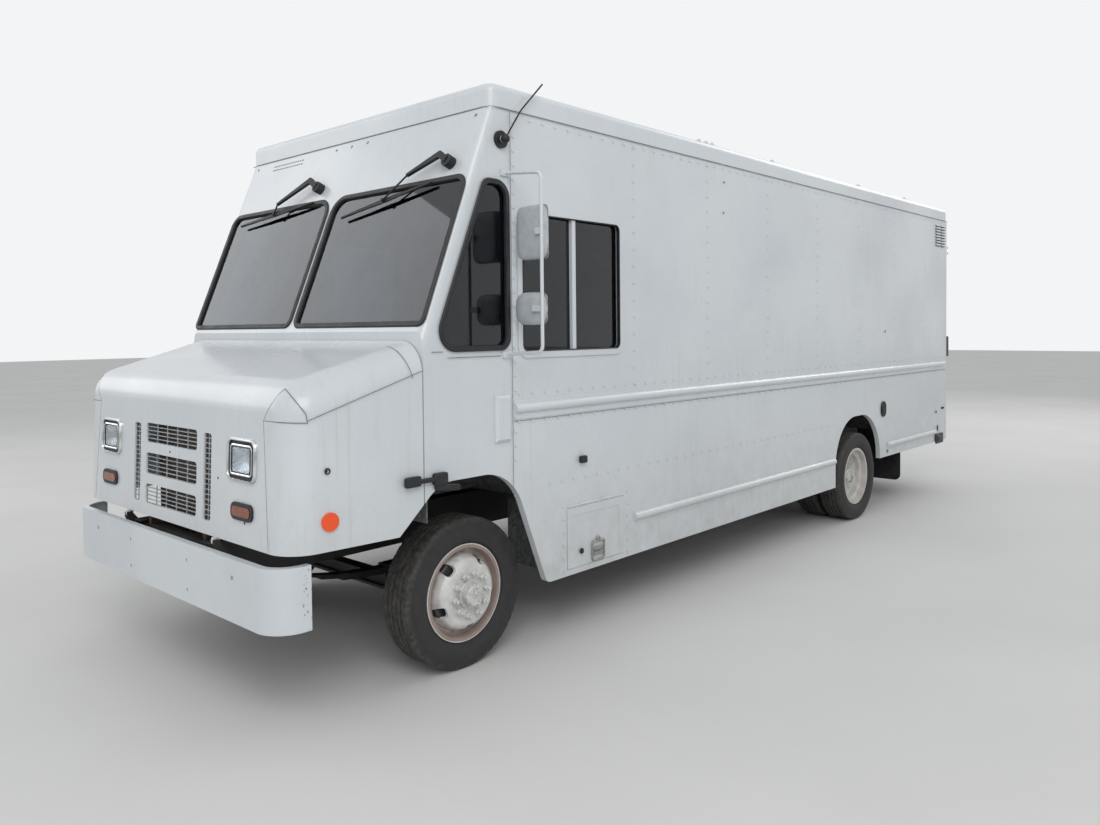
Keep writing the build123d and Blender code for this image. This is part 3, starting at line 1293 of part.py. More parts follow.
def door_track():
    """Rail that carries the sliding door, hung on the curb-side wall."""
    x0 = -INNER_W - 0.5
    y0 = SLIDE_Y0 - SLIDE_LAP - 20
    y1 = SLIDE_Y1 + SLIDE_WAY
    z = SLIDE_Z1 + SLIDE_LAP
    top = box(x0, x0 + DOOR_T + 28, y0, y1, z + TRACK_RISE, z + TRACK_RISE + 8)
    side = box(x0 + DOOR_T + 20, x0 + DOOR_T + 28, y0, y1, z - 22, z + TRACK_RISE + 8)
    return top + side


# Rear frame and doors
REAR_HINGES = [REAR_DOOR_Z0 + 130, (REAR_DOOR_Z0 + REAR_DOOR_Z1) / 2, REAR_DOOR_Z1 - 130]


def rear_frame():
    y0 = BODY_END_Y - REAR_POST + SEAT_GAP
    y1 = BODY_END_Y
    post_in = REAR_DOOR_HALF + 10
    shape = box(-HALF_W, HALF_W, y0, y1, REAR_DOOR_Z1 + 6, EAVE_Z - SEAT_GAP)
    shape += box(-HALF_W, HALF_W, y0, y1, REAR_SKIRT_Z, REAR_DOOR_Z0 - 6)
    for side in SIDES:
        shape += box(side * post_in, side * HALF_W, y0, y1, REAR_SKIRT_Z, EAVE_Z - SEAT_GAP)
    shape += box(-900, 900, y0 - 60, y1 - SEAT_GAP, REAR_BEAM_Z0, REAR_SKIRT_Z + 1)
    pin_y = y1 + REAR_HINGE_OUT
    for side in SIDES:
        for z in REAR_HINGES:
            shape += cyl_z(side * REAR_HINGE_X, pin_y, z, z + 60, REAR_HINGE_R)
            near = side * (REAR_HINGE_X + 2)
            shape += box(near, side * (REAR_HINGE_X + 48), y1 - 0.5, y1 + 6, z + 2, z + 26)
            shape += box(near, side * (REAR_HINGE_X + 20), y1 - 0.5, pin_y, z + 2, z + 26)
    return shape


def rear_window_rows(side, inset):
    """Rear door window outline, moved inward by inset."""
    near, far, low, high = REAR_WINDOW
    x0, x1 = sorted((side * (near + inset), side * (far - inset)))
    return rounded_rect(x0, x1, low + inset, high - inset, 60 - inset)


def rear_door(side):
    y1 = BODY_END_Y
    y0 = y1 - REAR_DOOR_T
    z0 = REAR_DOOR_Z0
    z1 = REAR_DOOR_Z1
    x0 = side * 3
    x1 = side * REAR_DOOR_HALF
    leaf = box(x0, x1, y0, y1, z0, z1)
    leaf -= along(rear_window_rows(side, 0), y0 - 10, y1 + 10)
    for z in REAR_HINGES:
        leaf += box(side * (REAR_DOOR_HALF - 150), side * REAR_DOOR_HALF, y1 - 0.1, y1 + 6, z - 26, z + 26)
        leaf += box(side * (REAR_DOOR_HALF - 1), side * (REAR_HINGE_X - 6), y1 + 1, y1 + 6, z - 26, z + 26)
        pin_y = y1 + REAR_HINGE_OUT
        barrel = cyl_z(side * REAR_HINGE_X, pin_y, z - 60, z - SEAT_GAP, REAR_HINGE_R)
        link = box(side * (REAR_HINGE_X - 20), side * (REAR_HINGE_X - 2), y1 + 1, pin_y, z - 26, z - 2)
        leaf += barrel + link
    if side > 0:
        leaf += box(30, 60, y1 - 0.1, y1 + 34, 1180, 1330)
        leaf += box(20, 70, y1 - 0.1, y1 + 12, 1160, 1350)
    return leaf


def rear_door_glass(side):
    y = BODY_END_Y - REAR_DOOR_T / 2
    return along(rear_window_rows(side, SEAT_GAP), y - GLASS_T / 2, y + GLASS_T / 2)


def door_stops():
    """Rubber block at each rear corner that the open door rests against."""
    y0 = BODY_END_Y + SEAT_GAP
    return [box(side * (HALF_W - 42), side * (HALF_W - 8), y0, REAR_Y, 1450, 1675) for side in SIDES]


def tail_lamps():
    lamps = []
    y1 = BODY_END_Y
    for side in SIDES:
        for z in (640.0, 740.0):
            lamps.append(cyl_y(side * (HALF_W - 160), y1 + SEAT_GAP, y1 + 24, z, 52))
        z = EAVE_Z - 145
        lamps.append(box(side * (HALF_W - 50), side * (HALF_W - 10), y1 + SEAT_GAP, y1 + 16, z, z + 30))
    return lamps


MUD_FLAP_Y = AXLE_R + 1105.0
MUD_FLAP_Z = 211.0


def mud_flaps():
    """Rubber flaps hung under the floor behind the twin wheels."""
    flaps = []
    top = FLOOR_Z - FLOOR_T - SEAT_GAP
    inner = DUAL_X - 240.0
    outer = HALF_W - 50.0
    rows = [(inner, MUD_FLAP_Z, 60), (outer, MUD_FLAP_Z, 60), (outer, top, 0), (inner, top, 0)]
    for side in SIDES:
        flaps.append(along(rows if side > 0 else mirror_x(rows), MUD_FLAP_Y - 4, MUD_FLAP_Y + 4))
    return flaps


def build():
    os.makedirs("parts", exist_ok=True)
    save("chassis_frame", chassis_frame())
    save("front_axle", front_axle())
    save("rear_axle", rear_axle())
    save("leaf_springs", [leaf_spring(s, row) for s in SIDES for row in LEAF_SPRINGS])
    save("tie_rod", tie_rod())
    rolling = front_wheel()
    twin = rear_wheels()
    rubber = tyre()
    for side, word in ((1, "left"), (-1, "right")):
        turn = Rot(0, 0, 0 if side > 0 else 180)
        save("knuckle_" + word, knuckle(side))
        front = Pos(side * FRONT_TYRE_X, AXLE_F, AXLE_Z)
        save("front_wheel_" + word, front * turn * rolling)
        save("front_tyre_" + word, front * turn * rubber)
        rear = Pos(side * DUAL_X, AXLE_R, AXLE_Z)
        save("rear_wheels_" + word, rear * turn * twin)
        pair = [rear * Pos(side * s * RIM_OUTSET, 0, 0) * rubber for s in SIDES]
        save("rear_tyres_" + word, pair)
        save("body_side_" + word, body_side(side))
        save("rear_door_" + word, rear_door(side))
        save("rear_door_glass_" + word, rear_door_glass(side))
    save("powertrain", powertrain())
    save("fuel_tank", fuel_tank())
    save("front_bumper", front_bumper())
    save("hood_shell", hood_shell())
    save("grille_mesh", grille_mesh())
    save("headlamp_bezels", headlamp_bezels())
    save("headlamp_lenses", headlamp_lenses())
    save("amber_lamps", amber_lamps())
    save("lamp_grommets", lamp_grommets())
    save("hood_latches", hood_latches())
    save("cab_front", cab_front())
    save("cab_glass", glass_panes())
    save("window_gaskets", window_gaskets())
    save("side_window_frame", side_window_frame())
    save("roof", roof())
    save("floor", floor())
    save("access_door", access_door())
    save("rub_rails", rub_rails())
    save("mirror_brackets", mirror_brackets())
    save("mirror_heads", mirror_heads())
    save("wipers", wipers())
    save("antenna", antenna())
    save("dashboard", dashboard())
    save("engine_cover", engine_cover())
    save("seat_base", seat_base())
    save("seat_cushions", seat_cushions())
    save("sliding_door", sliding_door())
    save("sliding_door_glass", sliding_door_glass())
    save("rear_frame", rear_frame())
    save("door_stops", door_stops())
    save("tail_lamps", tail_lamps())
    save("mud_flaps", mud_flaps())


build()
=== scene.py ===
import math

import bmesh
import bpy
import numpy as np
from bpy.props import FloatProperty, IntProperty, PointerProperty, StringProperty
from bpy.types import Operator, Panel, PropertyGroup
from mathutils import Matrix, Vector


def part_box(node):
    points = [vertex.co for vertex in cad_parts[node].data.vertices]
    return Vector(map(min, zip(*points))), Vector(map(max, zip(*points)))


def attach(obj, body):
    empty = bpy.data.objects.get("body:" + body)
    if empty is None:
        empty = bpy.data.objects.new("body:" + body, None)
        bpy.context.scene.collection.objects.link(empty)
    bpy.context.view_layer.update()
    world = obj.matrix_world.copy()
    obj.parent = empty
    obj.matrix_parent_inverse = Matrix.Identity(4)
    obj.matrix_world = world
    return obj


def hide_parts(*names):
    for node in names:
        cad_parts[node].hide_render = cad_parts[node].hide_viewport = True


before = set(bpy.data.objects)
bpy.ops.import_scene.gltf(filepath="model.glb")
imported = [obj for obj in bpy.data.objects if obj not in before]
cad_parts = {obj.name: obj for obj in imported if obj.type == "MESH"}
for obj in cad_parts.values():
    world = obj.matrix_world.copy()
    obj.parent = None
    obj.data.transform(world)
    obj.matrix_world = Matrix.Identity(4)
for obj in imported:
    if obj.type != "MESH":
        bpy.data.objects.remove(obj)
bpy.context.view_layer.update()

bl_info = {
    "name": "Step Van Dressing",
    "version": (1, 0, 0),
    "blender": (4, 5, 0),
    "location": "View3D > Sidebar > Step Van",
    "description": "Gives a walk-in step van its paint, tyres, rivets, rubber, lamps and mirrors",
    "category": "Object",
}

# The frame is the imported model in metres: +Z up, -Y the front, +X the driver's side.
SIDES = (1, -1)


def span(node):
    """Lowest and highest corner of a node as arrays."""
    low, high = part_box(node)
    return np.array(low), np.array(high)


TYRE_LOW, TYRE_HIGH = span("front_tyre_left")
REAR_LOW, REAR_HIGH = span("rear_tyres_left")
AXLE_Z = (TYRE_LOW[2] + TYRE_HIGH[2]) / 2
AXLE_F = (TYRE_LOW[1] + TYRE_HIGH[1]) / 2
AXLE_R = (REAR_LOW[1] + REAR_HIGH[1]) / 2
TYRE_R = TYRE_HIGH[2] - AXLE_Z
TYRE_HALF = (TYRE_HIGH[0] - TYRE_LOW[0]) / 2
FRONT_X = (TYRE_LOW[0] + TYRE_HIGH[0]) / 2
TWIN_X = (REAR_HIGH[0] - TYRE_HALF, REAR_LOW[0] + TYRE_HALF)
HALF_W = span("body_side_left")[1][0]
EAVE_Z = span("body_side_left")[1][2]
SEAM_Y = span("body_side_left")[0][1]
BODY_END = span("rear_frame")[1][1]
FRONT_END = span("front_bumper")[0][1]


# Colours and nodes
def colour(code):
    """sRGB hex code as a linear RGBA tuple."""
    parts = np.array([int(code[i:i + 2], 16) / 255 for i in (1, 3, 5)])
    linear = np.where(parts <= 0.04045, parts / 12.92, ((parts + 0.055) / 1.055) ** 2.4)
    return (*map(float, linear), 1.0)


def add(tree, kind, inputs=None, **settings):
    """Adds a shader node with its settings; inputs gives a socket its value, or the socket or node it is
    linked from."""
    made = tree.nodes.new("ShaderNode" + kind)
    for name, value in settings.items():
        setattr(made, name, value)
    for name, value in (inputs or {}).items():
        if isinstance(name, int):
            socket = made.inputs[name]
        else:
            socket = next(s for s in made.inputs if s.name == name and s.enabled)
        if isinstance(value, bpy.types.Node):
            value = next(s for s in value.outputs if s.enabled)
        if isinstance(value, bpy.types.NodeSocket):
            tree.links.new(value, socket)
        else:
            socket.default_value = value
    return made


def blank(name):
    """Empty material, its node tree and its Object coordinates in metres."""
    made = bpy.data.materials.new(name)
    made.use_nodes = True
    made.node_tree.nodes.clear()
    return made, made.node_tree, add(made.node_tree, "TexCoord").outputs["Object"]


def skin(tree, inputs):
    """Closes a material with one Principled shader that takes these values and links."""
    add(tree, "OutputMaterial", {"Surface": add(tree, "BsdfPrincipled", inputs)})


def patches(tree, where, size, low, high, detail=4.0, rough=0.55, most=1.0):
    """Soft patches about size metres across, from 0 to most: noise cut between two levels."""
    cloud = add(tree, "TexNoise", {"Vector": where, "Scale": 1.0 / size, "Detail": detail,
                                   "Roughness": rough})
    return add(tree, "MapRange", {"Value": cloud, "From Min": low, "From Max": high, "To Max": most})


def relief(tree, where, size, distance, strength=0.5, detail=3.0):
    """Fine unevenness about size metres across and distance metres deep, as a normal."""
    rough = add(tree, "TexNoise", {"Vector": where, "Scale": 1.0 / size, "Detail": detail})
    return add(tree, "Bump", {"Height": rough, "Distance": distance, "Strength": strength})


def waves(tree, value, pitch):
    """Sine of -1 to 1 that repeats every pitch metres along a value."""
    turns = add(tree, "Math", {0: value, 1: 2 * math.pi / pitch}, operation="MULTIPLY")
    return add(tree, "Math", {0: turns}, operation="SINE")


def layers(tree, base, *coats):
    """Colours laid over each other, each through its own mask of 0 to 1."""
    for mask, over in coats:
        base = add(tree, "Mix", {"Factor": mask, "A": base, "B": colour(over)}, data_type="RGBA")
    return base


def wheel_radius(tree, where, axle_y):
    """Distance from an axle's line in metres."""
    centred = add(tree, "Mapping", {"Vector": where, "Location": (0.0, -axle_y, -AXLE_Z),
                                    "Scale": (0.0, 1.0, 1.0)})
    return add(tree, "VectorMath", {0: centred}, operation="LENGTH").outputs["Value"]


# Finishes

# Radius inside which the brake drum shows through the hand holes, where the rim's clean lip begins, and how
# strongly what lies behind the disc is darkened, partly brake dust and partly painted shade
DRUM_RADIUS, RIM_LIP, BRAKE_DUST_AND_SHADE = 0.197, 0.2535, 0.92


def body_paint(look):
    """White polyurethane enamel sprayed on aluminium sheet: soft gloss over a slightly wavy skin, faint
    run-off streaks down from the roof edge, road dust low down and a few specks."""
    made, tree, where = blank("white_polyurethane_enamel")
    height = add(tree, "SeparateXYZ", {"Vector": where}).outputs["Z"]
    upright = add(tree, "Mapping", {"Vector": where, "Scale": (1.0, 1.0, 0.05)})
    streaks = add(tree, "Math", {0: patches(tree, upright, 0.035, 0.52, 0.8, 3.0, 0.6, 0.4),
                                 1: patches(tree, where, 0.7, 0.45, 0.65, 2.0)}, operation="MULTIPLY")
    low = add(tree, "MapRange", {"Value": height, "From Min": 0.35, "From Max": 1.15, "To Min": 0.6,
                                 "To Max": 0.0})
    dust = add(tree, "Math", {0: low, 1: patches(tree, where, 0.12, 0.3, 0.8, 6.0, 0.7)},
               operation="MULTIPLY")
    specks = patches(tree, where, 0.006, 0.73, 0.76, 2.0, 0.8, 0.5)
    scuffs = patches(tree, where, 0.22, 0.62, 0.72, 8.0, 0.75, 0.22)
    clouds = patches(tree, where, 0.9, 0.35, 0.7, 3.0)
    base = layers(tree, colour(look.paint), (clouds, look.paint_shade), (streaks, "#B7B8B4"),
                  (scuffs, "#BDBBB4"), (dust, "#A9A294"), (specks, "#8E8B83"))
    dull = add(tree, "Math", {0: clouds, 1: dust}, operation="ADD")
    gloss = add(tree, "MapRange", {"Value": dull, "From Max": 1.6, "To Min": 0.24, "To Max": 0.46})
    skin(tree, {"Base Color": base, "Roughness": gloss, "IOR": 1.5, "Coat Weight": 0.25,
                "Coat Roughness": 0.12, "Normal": relief(tree, where, 0.45, 0.004, 0.5, 2.0)})
    return made


def bumper_paint(look):
    """White enamel on pressed steel: scraped along its face, a few chips rusting at the driver's end."""
    made, tree, where = blank("white_enamel_on_steel")
    place = add(tree, "SeparateXYZ", {"Vector": where})
    tip = add(tree, "MapRange", {"Value": place.outputs["Y"], "From Min": FRONT_END + 0.110,
                                 "From Max": FRONT_END + 0.150})
    driver = add(tree, "MapRange", {"Value": place.outputs["X"], "From Min": 1.0, "From Max": 1.1})
    end = add(tree, "Math", {0: tip, 1: driver}, operation="MULTIPLY")
    chips = add(tree, "Math", {0: end, 1: patches(tree, where, 0.018, 0.60, 0.64, 6.0, 0.7)},
                operation="MULTIPLY")
    long_way = add(tree, "Mapping", {"Vector": where, "Scale": (0.12, 1.0, 1.0)})
    scrapes = patches(tree, long_way, 0.012, 0.69, 0.74, 5.0, 0.7, 0.45)
    clouds = patches(tree, where, 0.5, 0.35, 0.7, 3.0)
    base = layers(tree, colour(look.paint), (clouds, look.paint_shade), (scrapes, "#9C988E"),
                  (chips, "#6B4A36"))
    gloss = add(tree, "MapRange", {"Value": chips, "To Min": 0.28, "To Max": 0.85})
    skin(tree, {"Base Color": base, "Roughness": gloss, "IOR": 1.5, "Coat Weight": 0.2,
                "Coat Roughness": 0.15, "Normal": relief(tree, where, 0.3, 0.003, 0.5, 2.0)})
    return made


def wheel_paint(look, axle_y, word, rusted, disc_x, drum_x):
    """White enamel on a pressed steel wheel: rust creeps out of the rim's well, grease darkens the disc round
    the hub, and all that lies behind the disc, seen through its hand holes, is painted near-black:
    brake dust and painted shade."""
    made, tree, where = blank("white_wheel_enamel_" + word)
    radius = wheel_radius(tree, where, axle_y)
    place = add(tree, "SeparateXYZ", {"Vector": where})
    across = add(tree, "Math", {0: place.outputs["X"]}, operation="ABSOLUTE")
    deep = add(tree, "Math", {0: across, 1: disc_x}, operation="LESS_THAN")
    drum = add(tree, "Math", {0: across, 1: drum_x}, operation="LESS_THAN")
    small = add(tree, "Math", {0: radius, 1: DRUM_RADIUS}, operation="LESS_THAN")
    hub_side = add(tree, "Math", {0: drum, 1: small}, operation="MULTIPLY")
    hidden = add(tree, "Math", {0: deep, 1: hub_side}, operation="MAXIMUM")
    # Near-black behind the disc: brake dust and painted shade seen through the hand holes
    behind = add(tree, "Math", {0: hidden, 1: BRAKE_DUST_AND_SHADE}, operation="MULTIPLY")
    ragged = add(tree, "TexNoise", {"Vector": where, "Scale": 1.0 / 0.05, "Detail": 5.0})
    edge = add(tree, "Math", {0: ragged, 1: 0.05, 2: radius}, operation="MULTIPLY_ADD")
    inward = add(tree, "MapRange", {"Value": edge, "From Min": 0.215, "From Max": 0.245, "To Max": rusted})
    flange = add(tree, "MapRange", {"Value": radius, "From Min": RIM_LIP, "From Max": RIM_LIP + 0.003,
                                    "To Min": 1.0, "To Max": 0.0})
    rust = add(tree, "Math", {0: inward, 1: flange}, operation="MULTIPLY")
    grease = add(tree, "MapRange", {"Value": edge, "From Min": 0.055, "From Max": 0.16, "To Min": 0.6,
                                    "To Max": 0.0})
    grime = add(tree, "Math", {0: grease, 1: patches(tree, where, 0.02, 0.35, 0.65, 6.0, 0.7)},
                operation="MULTIPLY")
    clouds = patches(tree, where, 0.08, 0.4, 0.7)
    base = layers(tree, colour("#DCDDDB"), (clouds, "#C4C3BF"), (rust, look.rust), (grime, "#77726A"),
                  (behind, "#1E1C1B"))
    gloss = add(tree, "MapRange", {"Value": rust, "To Min": 0.4, "To Max": 0.8})
    skin(tree, {"Base Color": base, "Roughness": gloss, "IOR": 1.5, "Coat Weight": 0.1,
                "Normal": relief(tree, where, 0.008, 0.0008)})
    return made


def tyre_rubber(look, axle_y, word):
    """Weathered tyre compound: dull, fine moulding rings on the sidewall, dust held in the tread."""
    made, tree, where = blank("weathered_tyre_rubber_" + word)
    radius = wheel_radius(tree, where, axle_y)
    tread = add(tree, "MapRange", {"Value": radius, "From Min": 0.372, "From Max": 0.4, "To Min": 0.25,
                                   "To Max": 0.9})
    worn = patches(tree, where, 0.03, 0.35, 0.7, 6.0, 0.7)
    dust = add(tree, "Math", {0: tread, 1: worn}, operation="MULTIPLY")
    rings = waves(tree, radius, 0.007)
    grain = add(tree, "TexNoise", {"Vector": where, "Scale": 1.0 / 0.004, "Detail": 3.0})
    height = add(tree, "Math", {0: rings, 1: 0.12, 2: grain}, operation="MULTIPLY_ADD")
    skin(tree, {"Base Color": layers(tree, colour(look.rubber), (dust, "#5C5953")), "IOR": 1.52,
                "Roughness": add(tree, "MapRange", {"Value": worn, "To Min": 0.72, "To Max": 0.9}),
                "Normal": add(tree, "Bump", {"Height": height, "Distance": 0.0012, "Strength": 0.5})})
    return made


def chassis_black():
    """Chassis enamel brushed on rolled steel: matte black under road film, rusting in spots."""
    made, tree, where = blank("matte_black_chassis_enamel")
    film = patches(tree, where, 0.15, 0.35, 0.75, 6.0, 0.65)
    spots = patches(tree, where, 0.04, 0.6, 0.7, 6.0, 0.75, 0.7)
    base = layers(tree, colour("#1B1B1D"), (film, "#3A3733"), (spots, "#4B3527"))
    skin(tree, {"Base Color": base, "IOR": 1.5,
                "Roughness": add(tree, "MapRange", {"Value": film, "To Min": 0.5, "To Max": 0.85}),
                "Normal": relief(tree, where, 0.01, 0.001, 0.6, 5.0)})
    return made


def two_tone(name, cloud, fresh, aged, gloss, grain=None, **values):
    """Finish of two colours: patches of the aged one over the fresh one, which change the gloss as well, and a
    fine grain where one is given. cloud and grain are what patches() and relief() take."""
    made, tree, where = blank(name)
    mask = patches(tree, where, *cloud)
    inputs = {"Base Color": layers(tree, colour(fresh), (mask, aged)), **values,
              "Roughness": add(tree, "MapRange", {"Value": mask, "To Min": gloss[0], "To Max": gloss[1]})}
    if grain:
        inputs["Normal"] = relief(tree, where, *grain)
    skin(tree, inputs)
    return made


def tinted_glass(look, name):
    """Float glass laminated and tinted in the mass, with a thin film of dust that dulls its reflection. The
    dark tint is partly the glass's own and partly painted shade of the cab behind it.
    """
    made, tree, where = blank(name)
    film = patches(tree, where, 0.25, 0.35, 0.75, 5.0, 0.6)
    faint = add(tree, "Math", {0: film, 1: look.dust_film}, operation="MULTIPLY")
    skin(tree, {"Base Color": layers(tree, colour(look.glass), (faint, "#8A989E")), "IOR": 1.52,
                "Transmission Weight": 1.0,
                "Roughness": add(tree, "MapRange", {"Value": film, "To Min": 0.0, "To Max": 0.04})})
    return made


def lamp_glass():
    """Pressed headlamp glass with upright flutes 6 mm apart."""
    made, tree, where = blank("fluted_lamp_glass")
    place = add(tree, "SeparateXYZ", {"Vector": where})
    flutes = waves(tree, place.outputs["X"], 0.006)
    shade = patches(tree, where, 0.05, 0.3, 0.8, 3.0)
    skin(tree, {"Base Color": layers(tree, colour("#F7FAFC"), (shade, "#E2EBF2")), "IOR": 1.47,
                "Transmission Weight": 1.0,
                "Roughness": add(tree, "MapRange", {"Value": shade, "To Min": 0.01, "To Max": 0.08}),
                "Normal": add(tree, "Bump", {"Height": flutes, "Distance": 0.0005, "Strength": 0.15})})
    return made


def lens_plastic(name, bright, deep, pitch, flank):
    """Injection-moulded acrylic lens: clear skin over ribs that scatter the lamp's colour; pieces on the
    van's flanks take a colour of their own."""
    made, tree, where = blank(name)
    place = add(tree, "SeparateXYZ", {"Vector": where})
    ribs = waves(tree, place.outputs["Z"], pitch)
    faded = patches(tree, where, 0.04, 0.35, 0.7)
    across = add(tree, "Math", {0: place.outputs["X"]}, operation="ABSOLUTE")
    outer = add(tree, "Math", {0: across, 1: HALF_W * 0.8}, operation="GREATER_THAN")
    gloss = add(tree, "MapRange", {"Value": ribs, "From Min": -1.0, "To Min": 0.25, "To Max": 0.45})
    skin(tree, {"Base Color": layers(tree, colour(bright), (faded, deep), (outer, flank)), "IOR": 1.49,
                "Coat Weight": 0.4, "Coat Roughness": 0.06, "Roughness": gloss,
                "Normal": add(tree, "Bump", {"Height": ribs, "Distance": 0.0008, "Strength": 0.5})})
    return made


def moulded_plastic(name, light, dark, grain):
    """Moulded plastic with a leather-like grain of the given size in metres, dusty on top."""
    made, tree, where = blank(name)
    dusty = patches(tree, where, 0.2, 0.35, 0.75, 5.0, 0.65)
    cells = add(tree, "TexVoronoi", {"Vector": where, "Scale": 1.0 / grain})
    skin(tree, {"Base Color": layers(tree, colour(dark), (dusty, light)), "IOR": 1.47,
                "Roughness": add(tree, "MapRange", {"Value": dusty, "To Min": 0.5, "To Max": 0.75}),
                "Normal": add(tree, "Bump", {"Height": cells, "Distance": 0.0006, "Strength": 0.4})})
    return made


def floor_sheet():
    """Mill-finish aluminium floor and sills, scuffed lengthways by loads."""
    made, tree, where = blank("scuffed_mill_aluminium")
    long_way = add(tree, "Mapping", {"Vector": where, "Scale": (1.0, 0.15, 1.0)})
    scuffs = patches(tree, long_way, 0.03, 0.4, 0.7, 6.0, 0.7)
    skin(tree, {"Base Color": layers(tree, colour("#8D8F90"), (scuffs, "#5F5F5E")), "Metallic": 0.8,
                "Roughness": add(tree, "MapRange", {"Value": scuffs, "To Min": 0.4, "To Max": 0.65}),
                "Normal": add(tree, "Bump", {"Height": scuffs, "Distance": 0.0006, "Strength": 0.4})})
    return made


# Finishes of two colours by short name, each under a note of what it covers and how it looks
TWO_TONES = {
    # Gaskets, latches and flaps: satin black, chalked by sun
    "rubber": lambda: two_tone("extruded_epdm_rubber", (0.05, 0.4, 0.75, 5.0, 0.65), "#15161A", "#2C2C2E",
                               (0.45, 0.7), (0.003, 0.0004, 0.4, 2.0), IOR=1.5),
    # Engine, gearbox and knuckles: grainy, darkened by oil and brown with old rust
    "iron": lambda: two_tone("oily_cast_iron", (0.07, 0.35, 0.7, 6.0, 0.7), "#3B3836", "#6E6156",
                             (0.45, 0.75), (0.006, 0.001, 0.6, 4.0), Metallic=0.6),
    # Lamp bezels: mirror-bright, faintly pitted
    "chrome": lambda: two_tone("decorative_chrome_plate", (0.006, 0.6, 0.75, 4.0, 0.7), "#DADCDE", "#9A958C",
                               (0.08, 0.4), Metallic=1.0),
    # Latches, hinges and bolts: dull silver, spotted
    "zinc": lambda: two_tone("zinc_plated_steel", (0.012, 0.35, 0.7, 5.0, 0.7), "#B9BAB8", "#7F796F",
                             (0.3, 0.6), (0.004, 0.0004, 0.5, 4.0), Metallic=1.0),
    # Mirror faces: silver under a thin film of dust
    "mirror": lambda: two_tone("silvered_mirror_glass", (0.06, 0.4, 0.7), "#D6DADD", "#C3C8CA",
                               (0.02, 0.08), Metallic=1.0),
    # Mirror shells: satin pale grey, chalked by sun
    "mirror_shell": lambda: two_tone("pale_grey_moulded_abs", (0.05, 0.35, 0.7, 4.0, 0.6), "#BFC5CA", "#AEB3B7",
                                     (0.28, 0.42), (0.003, 0.0002, 0.3, 2.0), IOR=1.53),
    # Grille mesh: pale grey zinc with darker crystals
    "wire": lambda: two_tone("hot_dip_galvanised_wire", (0.02, 0.4, 0.6, 2.0, 0.5), "#B4B8BB", "#909497",
                             (0.45, 0.65), Metallic=0.5),
    # Headlamp bowls: bright and a little satin
    "bowl": lambda: two_tone("aluminised_lamp_reflector", (0.03, 0.35, 0.7), "#F4F7FA", "#E3EAF1",
                             (0.22, 0.36), Metallic=0.9),
    # Inside of open holes and slots: near-black, painted shade
    "hollow": lambda: two_tone("painted_shade_recess", (0.02, 0.3, 0.7), "#08080A", "#17171A", (0.9, 0.9), IOR=1.45),
    # Joints between panels: grey polyurethane that has gathered dirt; under the roof's lip the line is also
    # painted shadow
    "sealant": lambda: two_tone("weathered_joint_sealant", (0.03, 0.3, 0.7, 5.0, 0.7), "#7F8487", "#5C5F60",
                                (0.8, 0.8), IOR=1.5),
}

# Materials made so far, by short name
FINISHES = {}


def finish(name):
    """Material of that short name, made once."""
    if name not in FINISHES:
        look = bpy.context.scene.step_van
        rear_disc = sum(TWIN_X) / 2
        makers = {
            "paint": lambda: body_paint(look),
            "bumper": lambda: bumper_paint(look),
            "wheel_front": lambda: wheel_paint(look, AXLE_F, "front", 0.75, FRONT_X + 0.010, FRONT_X + 0.070),
            "wheel_rear": lambda: wheel_paint(look, AXLE_R, "rear", 0.35, rear_disc - 0.011, 0.0),
            "tyre_front": lambda: tyre_rubber(look, AXLE_F, "front"),
            "tyre_rear": lambda: tyre_rubber(look, AXLE_R, "rear"),
            "chassis": chassis_black,
            "glass": lambda: tinted_glass(look, "laminated_windshield_glass"),
            "door_glass": lambda: tinted_glass(look, "tempered_door_glass"),
            "lamp_glass": lamp_glass,
            "amber": lambda: lens_plastic("amber_acrylic_lens", "#8C3E14", "#6B2E10", 0.009, "#F4520E"),
            "red": lambda: lens_plastic("red_acrylic_lens", "#A8211C", "#7A1512", 0.008, "#9C1C18"),
            "trim": lambda: moulded_plastic("grained_black_polypropylene", "#2B2B2D", "#131316", 0.003),
            "dash": lambda: moulded_plastic("grained_grey_vinyl_skin", "#6C6E70", "#4B4D50", 0.004),
            "vinyl": lambda: moulded_plastic("black_seat_vinyl", "#2A2A2C", "#151517", 0.0035),
            "floor": floor_sheet,
            **TWO_TONES,
        }
        FINISHES[name] = makers[name]()
    return FINISHES[name]


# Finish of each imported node, also of those that a finer piece replaces
NODE_FINISH = {
    "paint": ["cab_front", "body_side_left", "body_side_right", "roof", "rear_frame", "hood_shell",
              "access_door", "rub_rails", "sliding_door", "rear_door_left", "rear_door_right",
              "side_window_frame", "mirror_brackets"],
    "bumper": ["front_bumper"],
    "chassis": ["chassis_frame", "front_axle", "rear_axle", "leaf_springs", "tie_rod", "fuel_tank",
                "seat_base"],
    "wire": ["grille_mesh"],
    "iron": ["powertrain", "knuckle_left", "knuckle_right"],
    "wheel_front": ["front_wheel_left", "front_wheel_right"],
    "wheel_rear": ["rear_wheels_left", "rear_wheels_right"],
    "glass": ["cab_glass"],
    "door_glass": ["sliding_door_glass", "rear_door_glass_left", "rear_door_glass_right"],
    "rubber": ["hood_latches", "door_stops", "mud_flaps", "lamp_grommets", "window_gaskets"],
    "trim": ["wipers", "antenna"],
    "dash": ["dashboard", "engine_cover"],
    "floor": ["floor"],
    "red": ["tail_lamps"],
    "amber": ["amber_lamps"],
    "tyre_front": ["front_tyre_left", "front_tyre_right"],
    "tyre_rear": ["rear_tyres_left", "rear_tyres_right"],
    "chrome": ["headlamp_bezels"],
    "lamp_glass": ["headlamp_lenses"],
    "mirror_shell": ["mirror_heads"],
    "vinyl": ["seat_cushions"],
}


# Surfaces
def unit(vectors):
    """The same directions with length one."""
    vectors = np.asarray(vectors, float)
    return vectors / np.linalg.norm(vectors, axis=-1, keepdims=True)


